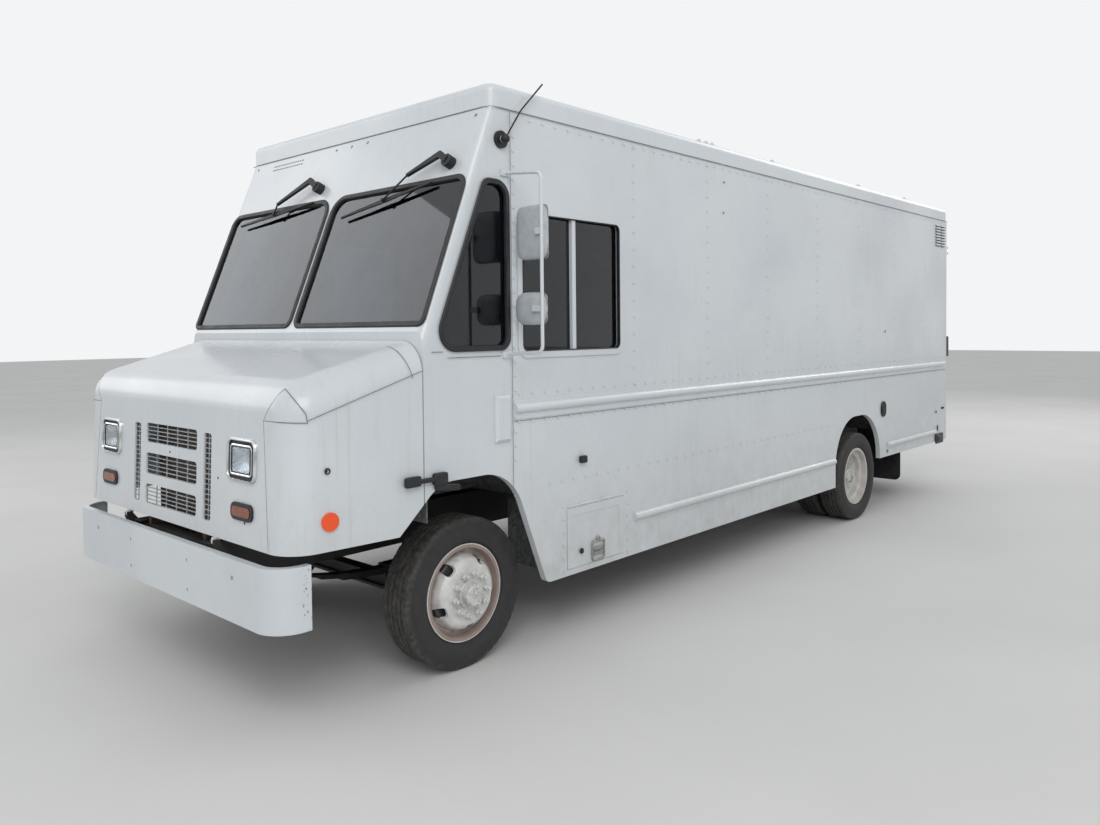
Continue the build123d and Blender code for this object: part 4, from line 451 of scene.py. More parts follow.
def grid_faces(rows, columns, wrap_rows=False, wrap_columns=False):
    """Quads of a rows by columns grid of points, as an array of four indices each."""
    i = np.arange(rows if wrap_rows else rows - 1)
    j = np.arange(columns if wrap_columns else columns - 1)
    i, j = np.meshgrid(i, j, indexing="ij")
    ni, nj = (i + 1) % rows, (j + 1) % columns
    quads = np.stack([i * columns + j, ni * columns + j, ni * columns + nj, i * columns + nj], axis=-1)
    return quads.reshape(-1, 4)


def piece(name, points, faces, finish_name, body, slot, smooth=38.0):
    """Mesh object from point and face arrays, welded, its normals outward, riding a body."""
    mesh = bpy.data.meshes.new(name)
    rows = [list(map(int, face)) for face in faces]
    mesh.from_pydata(np.asarray(points, float).reshape(-1, 3).tolist(), [], rows)
    work = bmesh.new()
    work.from_mesh(mesh)
    bmesh.ops.remove_doubles(work, verts=work.verts, dist=1e-6)
    bmesh.ops.recalc_face_normals(work, faces=work.faces)
    work.to_mesh(mesh)
    work.free()
    mesh.materials.append(finish(finish_name))
    made = bpy.data.objects.new(name, mesh)
    bpy.context.scene.collection.objects.link(made)
    mesh.shade_smooth()
    mesh.set_sharp_from_angle(angle=math.radians(smooth))
    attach(made, body)
    return made


def tiles(points, faces, count):
    """Faces of count copies of one small mesh whose points follow each other."""
    starts = len(points) * np.arange(count)[:, None, None]
    return (faces[None] + starts).reshape(-1, faces.shape[1])


def turned(rows, turns, centres, axes):
    """Turned pieces, one at each centre: S = C + h A + r (cos t B + sin t D), for rows of height h and radius
    r, t from 0 to a full turn, A the axis and B, D two unit vectors square to it."""
    centres = np.atleast_2d(np.asarray(centres, float))
    a = unit(np.broadcast_to(np.asarray(axes, float), centres.shape))
    helper = np.where(np.abs(a[:, 2:3]) < 0.9, [[0.0, 0.0, 1.0]], [[1.0, 0.0, 0.0]])
    b = unit(np.cross(helper, a))
    d = np.cross(a, b)
    h, r = np.asarray(rows, float).T
    t = np.arange(turns) * 2 * np.pi / turns
    spoke = np.cos(t)[None, :, None] * b[:, None, :] + np.sin(t)[None, :, None] * d[:, None, :]
    points = (centres[:, None, None, :] + h[None, :, None, None] * a[:, None, None, :]
              + r[None, :, None, None] * spoke[:, None, :, :])
    faces = grid_faces(len(h), turns, wrap_columns=True)
    one = points[0].reshape(-1, 3)
    return points.reshape(-1, 3), tiles(one, faces, len(centres))


def rectangle(u, v, half_u, half_v, radius):
    """Corner rows of a rounded rectangle round a centre."""
    return [(u - half_u, v - half_v, radius), (u + half_u, v - half_v, radius),
            (u + half_u, v + half_v, radius), (u - half_u, v + half_v, radius)]


def rounded(rows, steps=8):
    """Points round a closed outline of straight runs whose corners (u, v, r) are arcs of steps parts."""
    corners = np.asarray(rows, float)
    here = corners[:, :2]
    back = unit(np.roll(here, 1, axis=0) - here)
    ahead = unit(np.roll(here, -1, axis=0) - here)
    half = np.arccos(np.clip((back * ahead).sum(1), -1, 1)) / 2
    middle = here + unit(back + ahead) * (corners[:, 2] / np.sin(half))[:, None]
    first = here + back * (corners[:, 2] / np.tan(half))[:, None]
    last = here + ahead * (corners[:, 2] / np.tan(half))[:, None]
    s = np.linspace(0, 1, steps + 1)[None, :, None]
    arm0, arm1 = (first - middle)[:, None], (last - middle)[:, None]
    sweep = (np.pi - 2 * half)[:, None, None]
    arcs = middle[:, None] + (np.sin((1 - s) * sweep) * arm0 + np.sin(s * sweep) * arm1) / np.sin(sweep)
    return arcs.reshape(-1, 2)


def on_plane(points, origin, across, up):
    """P = O + u U + v V."""
    points = np.asarray(points, float)
    return np.asarray(origin) + points[:, :1] * np.asarray(across) + points[:, 1:2] * np.asarray(up)


def carried(profile, path, normal, closed=True):
    """Profile rows (a, b) carried along a path: S = P + a (T x N) + b N, T the path's direction and N the
    normal of the face it lies on. Both rings close, and an open path ends in flat caps."""
    path = np.asarray(path, float)
    n = unit(np.broadcast_to(np.asarray(normal, float), path.shape))
    if closed:
        run = np.roll(path, -1, axis=0) - np.roll(path, 1, axis=0)
    else:
        run = np.gradient(path, axis=0)
    side = unit(np.cross(unit(run), n))
    profile = np.asarray(profile, float)
    points = path[:, None] + profile[None, :, :1] * side[:, None] + profile[None, :, 1:2] * n[:, None]
    faces = grid_faces(len(path), len(profile), wrap_rows=closed, wrap_columns=True).tolist()
    if not closed:
        count = len(profile)
        last = (len(path) - 1) * count
        faces += [list(range(count)), list(range(last, last + count))]
    return points.reshape(-1, 3), faces


def joined(*parts):
    """One point and face list out of several."""
    points, faces, start = [], [], 0
    for p, f in parts:
        points.append(np.asarray(p).reshape(-1, 3))
        faces += [[int(index) + start for index in face] for face in f]
        start += len(points[-1])
    return np.concatenate(points), faces


def half_round(width, height, steps=6):
    """Low arch profile: a = w cos t / 2, b = h sin t, for t from 0 to half a turn."""
    t = np.linspace(0, np.pi, steps + 1)
    return np.stack([width / 2 * np.cos(t), height * np.sin(t)], axis=1)


# Pieces
class STEPVAN_OT_nodes(Operator):
    """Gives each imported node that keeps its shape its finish"""
    bl_idname = "stepvan.nodes"
    bl_label = "Finish the packed nodes"

    def execute(self, context):
        for name, nodes in NODE_FINISH.items():
            for node in nodes:
                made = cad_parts[node]
                if not made.material_slots:
                    made.data.materials.append(finish(name))
                for holder in made.material_slots:
                    holder.material = finish(name)
        return {"FINISHED"}


def tyre_section(size):
    """Half of a tyre's section as rows of x, radius, groove share and zigzag share, from bead to crown."""
    half = TYRE_HALF
    bead = 0.0815
    rows = [
        (bead, 0.2474, 0, 0), (bead, 0.262, 0, 0), (bead + 0.006, 0.268, 0, 0), (bead + 0.015, 0.272, 0, 0),
        (half - 0.007, 0.290, 0, 0), (half - 0.001, 0.312, 0, 0), (half, 0.328, 0, 0),
        (half - 0.001, 0.345, 0, 0), (half - 0.0035, 0.3600, 0, 0), (half - 0.0045, 0.3605, 0, 0),
        (half - 0.005, 0.372, 0, 0), (half - 0.008, 0.386, 0, 0), (half - 0.013, 0.3955, 0, 0),
        (half - 0.020, TYRE_R - 0.003, 0, 0),
    ]
    edge = half - 0.026
    rows.append((edge, TYRE_R - 0.0012, 0, 0))
    for centre in (0.052, 0.019):
        wide = size.groove_width / 2
        crown = TYRE_R - 0.0010 * (centre / edge) ** 2
        steps = ((wide + 0.0015, 0), (wide, 0), (wide * 0.6, 1), (-wide * 0.6, 1), (-wide, 0),
                 (-wide - 0.0015, 0))
        rows += [(centre + out, crown, groove, 1) for out, groove in steps]
    rows.append((0.0, TYRE_R, 0, 0))
    return np.array(rows)


def tyre_surface(size, centre_x, axle_y):
    """Closed ring: x = x_v + z_v Z tri(k u), r = r_v - g_v G - shoulder notches, y = r sin u, z = r cos u,
    where Z is the zigzag's reach, k its count round the tyre and G the groove's depth."""
    half = tyre_section(size)
    other = half[::-1][1:].copy()
    other[:, 0] *= -1
    rows = np.concatenate([half, other])
    u = np.linspace(0, 2 * np.pi, size.tyre_steps, endpoint=False)[:, None]
    wave = np.abs((u * size.zigzags / (2 * np.pi)) % 1 * 2 - 1) * 2 - 1
    x = rows[None, :, 0] + rows[None, :, 3] * size.zigzag_reach * wave
    r = rows[None, :, 1] - rows[None, :, 2] * size.groove_depth + 0 * u
    shoulder = (rows[:, 1] > 0.38) & (np.abs(rows[:, 0]) > 0.088)
    notch = (np.cos(u * size.zigzags) > 0.55)
    r = r - notch * shoulder[None, :] * 0.004
    points = np.stack([centre_x + x, axle_y + r * np.sin(u), AXLE_Z + r * np.cos(u)], axis=-1)
    return points.reshape(-1, 3), grid_faces(size.tyre_steps, len(rows), wrap_rows=True, wrap_columns=True)


class STEPVAN_OT_tyres(Operator):
    """Builds the six tyres with grooved ribs, shoulder notches and rim protectors"""
    bl_idname = "stepvan.tyres"
    bl_label = "Build tyres"

    def execute(self, context):
        size = context.scene.step_van
        for side, word in zip(SIDES, ("left", "right")):
            points, faces = tyre_surface(size, side * FRONT_X, AXLE_F)
            made = piece("front_tread_" + word, points, faces, "tyre_front", "wheel_front_" + word, "tyre", 30)
            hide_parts("front_tyre_" + word)
            outer, inner = (tyre_surface(size, side * x, AXLE_R) for x in TWIN_X)
            points = np.concatenate([outer[0], inner[0]])
            faces = np.concatenate([outer[1], inner[1] + len(outer[0])])
            made = piece("rear_tread_" + word, points, faces, "tyre_rear", "wheels_rear_" + word, "tyre", 30)
            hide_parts("rear_tyres_" + word)
        return {"FINISHED"}


class STEPVAN_OT_nuts(Operator):
    """Sets a ring of lug nuts on studs on each wheel, and bolts on the hubs"""
    bl_idname = "stepvan.nuts"
    bl_label = "Fit lug nuts"

    def execute(self, context):
        size = context.scene.step_van
        turn = np.arange(size.lug_count) * 2 * np.pi / size.lug_count + 0.1
        ring = np.stack([0 * turn, np.cos(turn), np.sin(turn)], axis=1)
        washer = [(0.0, 0.0), (0.0, 0.021), (0.004, 0.0205), (0.004, 0.0)]
        nut = [(0.003, 0.0), (0.003, 0.0188), (0.022, 0.0188), (0.026, 0.0152), (0.026, 0.0)]
        stud = [(0.02, 0.0), (0.02, 0.0095), (0.040, 0.0095), (0.0425, 0.007), (0.0425, 0.0)]
        bolt = [(0.0, 0.0), (0.0, 0.0105), (0.008, 0.0105), (0.0095, 0.0085), (0.0095, 0.0)]
        for side, word in zip(SIDES, ("left", "right")):
            for base, axle_y, hub_reach, body, axle in (
                    (FRONT_X + size.wheel_face, AXLE_F, size.hub_reach, "wheel_front_", "front"),
                    (sum(TWIN_X) / 2, AXLE_R, size.rear_hub_reach, "wheels_rear_", "rear")):
                centre = np.array([side * base, axle_y, AXLE_Z])
                axis = (side, 0.0, 0.0)
                spots = centre + ring * size.lug_radius
                hub = centre + ring[::2] * size.hub_circle + np.array([side * hub_reach, 0, 0])
                parts = joined(turned(washer, 16, spots, axis), turned(nut, 6, spots, axis),
                               turned(stud, 12, spots, axis), turned(bolt, 6, hub, axis))
                piece("lug_nuts_%s_%s" % (axle, word), *parts, "wheel_" + axle, body + word, "wheel_paint", 25)
        return {"FINISHED"}


def leaning(slope):
    """Up direction and outward normal of a front face that leans back by this run over its rise."""
    angle = math.atan(slope)
    return np.array([[0.0, math.sin(angle), math.cos(angle)], [0.0, -math.cos(angle), math.sin(angle)]])


ACROSS = np.array([1.0, 0.0, 0.0])
# Windshield: its slope, a point on its plane and the width of rubber on its edges
WINDSHIELD_TAN = 0.397
COWL = np.array([0.0, AXLE_F - 0.390, 1.796])
SHIELD_UP, SHIELD_OUT = leaning(WINDSHIELD_TAN)
RUBBER_INSET = 0.015
# Its glass: foot and head above ground, and the gap to the middle post and to the corner
SHIELD_Z0, SHIELD_Z1, SHIELD_GAP = 1.818, 2.602, 0.012
# Quarter window: front edge at its foot, that edge's slope, foot and head above ground, gap to the wall's seam
QUARTER_Y, QUARTER_TAN = AXLE_F - 0.350, 0.4057
QUARTER_Z0, QUARTER_Z1, QUARTER_GAP = 1.690, 2.587, 0.012
# Hood: front face, its rake, the taper of its flanks, the slope of its top and its height at the back
HOOD_FACE_Y = AXLE_F - 1.090
HOOD_RAKE = 0.04
HOOD_FACE_Z = 1.200
HOOD_TAPER = 0.075
HOOD_SLOPE = 0.285
HOOD_REAR_Z = 1.750
HOOD_REAR_Y = COWL[1] - 0.006
FACE_UP, FACE_OUT = leaning(HOOD_RAKE)


def on_wall(rows, side=1):
    """Rows of y and z as points on a side wall, the driver's unless side is -1."""
    return np.column_stack([np.full(len(rows), side * HALF_W), rows])


def on_shield(rows):
    """Points on the windshield's plane, given across and up it."""
    return on_plane(rows, COWL, ACROSS, SHIELD_UP)


def up_shield(z):
    """Height above ground as a distance up the windshield's plane."""
    return (z - COWL[2]) / SHIELD_UP[2]


def flank_x(y):
    """Half width of the hood at its widest, a distance y along the van."""
    return HALF_W - 0.002 - HOOD_TAPER * (HOOD_REAR_Y - y)


def windshield_outline(side, inset):
    """Rounded outline of one half of the windshield, drawn in by inset."""
    low, high = up_shield(SHIELD_Z0) + inset, up_shield(SHIELD_Z1) - inset
    near, far = SHIELD_GAP + inset, HALF_W - SHIELD_GAP - inset
    rows = [(near, low, 0.060 - inset), (far, low, 0.050 - inset), (far, high, 0.085 - inset),
            (near, high, 0.120 - inset)]
    return on_shield(rounded([(side * u, v, r) for u, v, r in rows][::side], 10))


def quarter_outline(inset):
    """Quarter window in side view as y and z; its front edge leans with the windshield."""
    low, high = QUARTER_Z0 + inset, QUARTER_Z1 - inset
    rear = SEAM_Y - QUARTER_GAP - inset
    lean = inset / math.cos(math.atan(WINDSHIELD_TAN))
    front_low, front_high = (QUARTER_Y + QUARTER_TAN * (z - QUARTER_Z0) + lean for z in (low, high))
    return rounded([(front_low, low, 0.110 - inset), (rear, low, 0.070 - inset),
                    (rear, high, 0.095 - inset), (front_high, high, 0.062 - inset)], 10)


def side_window_outline(inset, radius):
    """Outline of the side window's panes as y and z."""
    low, high = span("side_window_frame")
    (_, y, z), (_, half_y, half_z) = (low + high) / 2, (high - low) / 2 - inset
    return rounded(rectangle(y, z, half_y, half_z, radius), 8)


class STEPVAN_OT_gaskets(Operator):
    """Lays the rubber gaskets round the windshields, quarter windows and side window"""
    bl_idname = "stepvan.gaskets"
    bl_label = "Lay window gaskets"

    def execute(self, context):
        profile = [(-0.0150, -0.012), (-0.0150, 0.0045), (-0.0120, 0.0085), (-0.0060, 0.0098),
                   (-0.0020, 0.0080), (0.0020, 0.0080), (0.0060, 0.0095), (0.0115, 0.0080),
                   (0.0150, 0.0035), (0.0150, 0.0005), (0.0000, 0.0005), (-0.0002, -0.012)]
        parts = []
        for side in SIDES:
            parts.append(carried(profile, windshield_outline(side, RUBBER_INSET), SHIELD_OUT))
            loop = on_wall(quarter_outline(RUBBER_INSET), side)
            parts.append(carried(profile, loop[::side], (side, 0.0, 0.0)))
        made = piece("window_rubber", *joined(*parts), "rubber", "chassis", "rubber", 40)
        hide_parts("window_gaskets")
        slim = [(-0.0030, -0.0175), (-0.0030, 0.003), (0.0010, 0.006), (0.0045, 0.003), (0.0045, -0.0175)]
        seal = carried(slim, on_wall(side_window_outline(0.0385, 0.034)), ACROSS)
        piece("side_window_rubber", *seal, "rubber", "chassis", "rubber", 40)
        return {"FINISHED"}


def superellipsoid(centre, half, power, steps=(40, 64), squash=None):
    """Rounded box: P = C + H * (cu^e cv^e, cu^e sv^e, su^e), with c, s signed cosine and sine and
    e = 2 / power."""
    u = np.linspace(-np.pi / 2, np.pi / 2, steps[0])[:, None]
    v = np.linspace(0, 2 * np.pi, steps[1], endpoint=False)[None, :]
    e = 2.0 / power

    def lift(value):
        """Signed power of a cosine or sine."""
        return np.sign(value) * np.abs(value) ** e

    x = lift(np.cos(u)) * lift(np.cos(v))
    y = lift(np.cos(u)) * lift(np.sin(v))
    z = lift(np.sin(u)) * np.ones_like(v)
    shape = np.stack([x, y, z], axis=-1)
    if squash is not None:
        shape = squash(shape)
    points = np.asarray(centre) + shape * np.asarray(half)
    return points.reshape(-1, 3), grid_faces(*steps, wrap_columns=True)


# Mirror heads, flat and convex: distance off the wall, half width, height, half height, power of the rounded
# shell, its depth, corner radius of the glass and how far its middle lies below the frame
MIRROR_HEADS = [
    (0.153, 0.097, 2.3035, 0.1405, 6.0, 0.050, 0.022, 0.0020),
    (0.135, 0.101, 1.9085, 0.0855, 3.6, 0.054, 0.036, 0.0005),
]
MIRROR_LIP = [(-0.0028, 0.0), (-0.0028, 0.008), (0.0, 0.009), (0.0028, 0.008), (0.0028, 0.0)]


def thicken(made, thickness):
    """Gives a sheet its thickness."""
    made.modifiers.new("thickness", "SOLIDIFY").thickness = thickness


class STEPVAN_OT_mirrors(Operator):
    """Moulds the mirror shells, their thin frames and their silvered faces"""
    bl_idname = "stepvan.mirrors"
    bl_label = "Build mirrors"

    def execute(self, context):
        front = span("mirror_heads")[0][1]

        def flat_back(shape):
            """Presses the rear half of a rounded box almost flat."""
            shape[..., 1] = np.where(shape[..., 1] > 0, 0.02 * shape[..., 1], shape[..., 1])
            return shape

        shells, rims, panes = [], [], []
        for side in SIDES:
            for x, half_x, z, half_z, power, depth, corner, hollow in MIRROR_HEADS:
                back = front + depth
                centre = np.array([side * (HALF_W + x), back - 0.004, z])
                shells.append(superellipsoid(centre, (half_x, depth - 0.004, half_z), power, squash=flat_back))
                loop = rounded(rectangle(0.0, 0.0, half_x - 0.003, half_z - 0.003, corner), 8)
                edge = on_plane(loop, (centre[0], back - 0.009, z), (1, 0, 0), (0, 0, 1))
                rims.append(carried(MIRROR_LIP, edge, (0, 1, 0)))
                ring = on_plane(loop * 0.93, (centre[0], back - 0.0025, z), (1, 0, 0), (0, 0, 1))
                hub = np.array([[centre[0], back - hollow, z]])
                count = len(ring)
                fan = [[i, (i + 1) % count, count] for i in range(count)]
                panes.append((np.concatenate([ring, hub]), fan))
        made = piece("mirror_shells", *joined(*shells), "mirror_shell", "chassis", "chrome", 50)
        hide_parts("mirror_heads")
        piece("mirror_frames", *joined(*rims), "zinc", "chassis", "chrome", 40)
        thicken(piece("mirror_faces", *joined(*panes), "mirror", "chassis", "chrome", 60), 0.0015)
        return {"FINISHED"}


def face_ring(x, z, width, height, radius, steps=8):
    """Rounded rectangle laid on the hood's face as points in space."""
    origin = np.array([0.0, HOOD_FACE_Y - HOOD_RAKE * HOOD_FACE_Z, 0.0])
    rows = rectangle(x, z / FACE_UP[2], width / 2, height / 2 / FACE_UP[2], radius)
    return on_plane(rounded(rows, steps), origin, ACROSS, FACE_UP)


def dished(ring, normal, depth, rows):
    """Bowl or dome on a ring: S = C + s (P - C) + d (1 - s^2) N, for s from the rim to 0."""
    centre = ring.mean(axis=0)
    s = np.linspace(1.0, 0.0, rows)[:, None, None]
    points = centre + s * (ring - centre)[None] + depth * (1 - s ** 2) * np.asarray(normal)
    return points.reshape(-1, 3), grid_faces(rows, len(ring), wrap_columns=True)


# Rings of a headlamp on the hood's face, as width, height and corner radius, and the sections carried along
# them, as distance outwards and off the face; the black band in the gap between bezel and inner ring is painted
# shade
BEZEL_RING, GAP_RING = (0.236, 0.176, 0.030), (0.214, 0.156, 0.024)
INNER_RING, LENS_RING = (0.190, 0.134, 0.018), (0.184, 0.128, 0.015)
BEZEL = [(-0.0015, 0.0003), (-0.0015, 0.010), (0.001, 0.0145), (0.006, 0.0150), (0.0105, 0.0105),
         (0.013, 0.004), (0.013, 0.0003)]
INNER = [(-0.004, -0.004), (-0.004, 0.010), (0.0, 0.0125), (0.005, 0.010), (0.006, -0.004)]
GAP_SHADE = [(-0.012, 0.0004), (-0.012, 0.003), (0.012, 0.003), (0.012, 0.0004)]


class STEPVAN_OT_headlamps(Operator):
    """Builds the headlamps: chrome bezel, inner ring, fluted lens, reflector bowl and a black ring of painted
    shade in the gap between the rings
    """
    bl_idname = "stepvan.headlamps"
    bl_label = "Build headlamps"

    def execute(self, context):
        size = context.scene.step_van
        bezels, lenses, bowls, shade_gaps = [], [], [], []
        for side in SIDES:
            spot = side * size.headlamp_x, size.headlamp_z
            bezels.append(carried(BEZEL, face_ring(*spot, *BEZEL_RING), FACE_OUT))
            bezels.append(carried(INNER, face_ring(*spot, *INNER_RING), FACE_OUT))
            lens = face_ring(*spot, *LENS_RING)
            lenses.append(dished(lens + FACE_OUT * 0.006, FACE_OUT, 0.006, 6))
            bowls.append(dished(lens + FACE_OUT * 0.003, FACE_OUT, -0.028, 8))
            shade_gaps.append(carried(GAP_SHADE, face_ring(*spot, *GAP_RING), FACE_OUT))
        made = piece("headlamp_chrome", *joined(*bezels), "chrome", "hood", "chrome", 50)
        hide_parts("headlamp_bezels")
        made = piece("headlamp_glass", *joined(*lenses), "lamp_glass", "hood", "lamp_glass", 60)
        thicken(made, 0.003)
        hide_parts("headlamp_lenses")
        thicken(piece("headlamp_bowls", *joined(*bowls), "bowl", "hood", "chrome", 60), 0.0012)
        # Black ring in the recess between bezel and inner ring: painted shade
        piece("headlamp_gap_shade", *joined(*shade_gaps), "trim", "hood", "black_plastic", 40)
        return {"FINISHED"}


# Heights of the rivets at the top and foot of the rub rail and at the sill, and the rivets' spacings
RAIL_TOP, RAIL_FOOT, SILL_TOP = 1.452, 1.302, 0.935
POST_PITCH, ROW_PITCH, EDGE_PITCH = 0.86, 0.105, 0.075


def lines_of_rivets():
    """Centres of the rivets on the driver's wall as rows of y and z."""
    top, front, rear = EAVE_Z - 0.035, SEAM_Y + 0.05, BODY_END - 0.06
    post = np.arange(RAIL_TOP, top, ROW_PITCH)
    posts = [(y, post) for y in np.arange(AXLE_F + 1.3, BODY_END - 0.1, POST_PITCH)]
    level = [(np.arange(y0, y1, ROW_PITCH), z) for z, y0, y1 in (
        (top, front, rear), (RAIL_TOP, front, rear), (RAIL_FOOT, front, rear),
        (SILL_TOP, AXLE_F + 0.50, AXLE_R - 0.60))]
    edges = [(y, np.arange(z0, z1, EDGE_PITCH)) for y, z0, z1 in (
        (SEAM_Y + 0.022, 1.10, 2.92), (AXLE_F + 0.615, 0.41, 0.82), (AXLE_F + 1.215, 0.41, 0.82),
        (BODY_END - 0.075, 0.55, 2.6))]
    return np.concatenate([np.column_stack(np.broadcast_arrays(y, z)) for y, z in posts + level + edges])


def clear_of(spots, y0, y1, z0, z1):
    """Spots outside one rectangle."""
    inside = (spots[:, 0] > y0) & (spots[:, 0] < y1) & (spots[:, 1] > z0) & (spots[:, 1] < z1)
    return spots[~inside]


class STEPVAN_OT_rivets(Operator):
    """Sets rows of dome rivets along the posts and seams of both walls"""
    bl_idname = "stepvan.rivets"
    bl_label = "Set rivets"

    def execute(self, context):
        size = context.scene.step_van
        radius = size.rivet_radius
        dome = [(-0.0005, radius), (0.0005, radius), (0.0016, radius * 0.78), (0.0024, radius * 0.4),
                (0.0026, 0.0)]
        frame_low, frame_high = span("side_window_frame")
        for side, word in zip(SIDES, ("left", "right")):
            spots = lines_of_rivets()
            spots = clear_of(spots, AXLE_R - 0.58, AXLE_R + 0.52, 0.0, 1.02)
            if side > 0:
                spots = clear_of(spots, frame_low[1], frame_high[1], frame_low[2], frame_high[2])
                low, high = span("access_door")
                spots = clear_of(spots, low[1] - 0.01, high[1] + 0.01, low[2], high[2] + 0.02)
            else:
                low, high = span("sliding_door")
                spots = clear_of(spots, low[1], high[1], low[2], high[2])
            domes = turned(dome, 8, on_wall(spots, side), (side, 0.0, 0.0))
            piece("wall_rivets_" + word, *domes, "paint", "chassis", "body_paint", 60)
        return {"FINISHED"}


def hood_corner(side, radius):
    """Centre of the ball in a front corner of the hood, the outward directions of side, top and face, and
    the directions of its edges: in along the nose, down the corner and back along the shoulder."""
    ways = unit([[side, -HOOD_TAPER, 0.0], [0.0, -HOOD_SLOPE, 1.0], [0.0, -1.0, HOOD_RAKE]])
    spots = np.array([[side * flank_x(HOOD_REAR_Y), HOOD_REAR_Y, 0.0], [0.0, HOOD_REAR_Y, HOOD_REAR_Z],
                      [0.0, HOOD_FACE_Y, HOOD_FACE_Z]])
    ball = np.linalg.solve(ways, (ways * spots).sum(axis=1) - radius)
    edges = unit(np.cross(ways[[1, 0, 0]], ways[[2, 2, 1]]))
    aims = np.array([[-side, 0.0, 0.0], [0.0, 0.0, -1.0], [0.0, 1.0, 0.0]])
    return ball, ways, edges * np.sign((edges * aims).sum(axis=1))[:, None]


def over_skin(ball, radius, rows, steps=8):
    """Path over the hood's rounded skin: S = B + A + r D, B the ball's centre, with anchors A and directions
    D run evenly from row to row and D kept one long. Returns the path and its normals."""
    anchors, ways = (np.array(column, float) for column in zip(*rows))
    s = np.linspace(0, len(rows) - 1, (len(rows) - 1) * steps + 1)
    k = np.minimum(s.astype(int), len(rows) - 2)
    f = (s - k)[:, None]
    way = unit((1 - f) * unit(ways)[k] + f * unit(ways)[k + 1])
    return ball + (1 - f) * anchors[k] + f * anchors[k + 1] + radius * way, way


# Joint along the hood's shoulder: its ends measured from the front axle, its height in front and its rise
SHOULDER_Y, SHOULDER_Z, SHOULDER_RISE = (-1.001, -0.402), 1.412, 0.322
# Foot of the joint down the hood's face: distance from the middle and height
SEAM_FOOT = (0.988, 0.829)


def hood_seams(side, size):
    """Joints of one side of the hood: round the corner's cap, down the corner, along the shoulder and across
    it, each a path with its normals."""
    ball, (flank, top, face), (nose, down, back) = hood_corner(side, size.hood_edge)
    mirror = np.array([side, 1.0, 1.0])
    drop = (ball[2] - size.cap_z) / -down[2]
    inset = side * ball[0] - size.cap_x
    left = (inset * nose + drop * down, face)
    foot = (side * ball[0] - SEAM_FOOT[0]) * nose + (ball[2] - SEAM_FOOT[1]) / -down[2] * down
    right = (drop * down, np.array([0.888, -0.459, 0.016]) * mirror)
    apex = (0.0 * nose, np.array([0.120, -0.689, 0.715]) * mirror)
    rise = (0.055 * nose, face)
    waist = (0.017 * nose, np.array([0.0, -0.9385, 0.345]))
    brow = (0.0 * nose, np.array([0.860, -0.508, 0.040]) * mirror)
    cheek = (0.0 * nose, np.array([0.673, -0.658, 0.337]) * mirror)
    paths = [
        over_skin(ball, size.hood_edge, [left, (drop * down, face), right]),
        over_skin(ball, size.hood_edge, [left, rise, waist, apex]),
        over_skin(ball, size.hood_edge, [right, brow, cheek, apex]),
        over_skin(ball, size.hood_edge, [left, (foot, face)]),
    ]
    y = AXLE_F + np.linspace(*SHOULDER_Y, 16)
    shoulder = np.column_stack([side * flank_x(y), y, SHOULDER_Z + (y - y[0]) * SHOULDER_RISE])
    paths.append((shoulder, np.broadcast_to(flank, shoulder.shape)))
    reach = (HOOD_REAR_Y - 0.048 - ball[1]) / back[1]
    paths.append(over_skin(ball, size.hood_edge, [(reach * back, flank), (reach * back, top)], 14))
    return paths


class STEPVAN_OT_seams(Operator):
    """Draws the sealed joints between the panels of hood and body; the line under the roof's lip is partly a
    joint and partly painted shadow of the lip
    """
    bl_idname = "stepvan.seams"
    bl_label = "Seal panel joints"

    def execute(self, context):
        size = context.scene.step_van
        bead = half_round(size.seam_width, 0.0006, 4)
        paths = hood_seams(1, size) + hood_seams(-1, size)
        parts = [carried(bead, path, way, closed=False) for path, way in paths]
        piece("hood_seams", *joined(*parts), "sealant", "hood", "rubber", 60)
        # The line under the roof's lip, along the walls and across the header: a sealed joint and painted
        # shadow of the lip
        eave = EAVE_Z - 0.004
        runs = [(SEAM_Y, 0.905, SEAM_Y, EAVE_Z - 0.01), (AXLE_F - 0.344, 1.693, AXLE_F - 0.270, 1.693),
                (AXLE_F - 0.242, 1.662, AXLE_F + 0.128, 1.662), (AXLE_F + 0.080, eave, BODY_END - 0.02, eave)]
        belt = [(SEAM_Y + 0.01, 1.308, BODY_END - 0.06, 1.308)]
        lines = []
        for side in SIDES:
            for y0, z0, y1, z1 in runs + belt * (side > 0):
                path = np.linspace((side * HALF_W, y0, z0), (side * HALF_W, y1, z1), 8)
                lines.append(carried(bead, path, (side, 0, 0), closed=False))
        header = np.column_stack([np.linspace(-HALF_W, HALF_W, 12), np.full(12, up_shield(eave))])
        lines.append(carried(bead, on_shield(header), SHIELD_OUT, closed=False))
        piece("body_seams", *joined(*lines), "sealant", "chassis", "rubber", 60)
        return {"FINISHED"}


def wall_loop(y, z, half_y, half_z, radius, steps=6):
    """Rounded rectangle on the driver's wall round a centre measured back from the front axle."""
    return on_wall(rounded(rectangle(y, z, half_y, half_z, radius), steps) + np.array([AXLE_F, 0.0]))


def wall_spot(y, z, off=0.0):
    """Point off the driver's wall, measured back from the front axle."""
    return HALF_W + off, AXLE_F + y, z


def pad(ring, normal, height, bevel=0.3):
    """Low cushion on a ring: S = C + s (P - C) + h N, from the foot over a bevelled shoulder to a flat top."""
    centre = ring.mean(axis=0)
    s = np.array([1.0, 1.0, 1.0 - bevel * 0.5, 1.0 - bevel, 0.0])[:, None, None]
    h = np.array([-0.0005, height * 0.5, height * 0.9, height, height])[:, None, None]
    points = centre + s * (ring - centre)[None] + h * np.asarray(normal, float)
    return points.reshape(-1, 3), grid_faces(5, len(ring), wrap_columns=True)


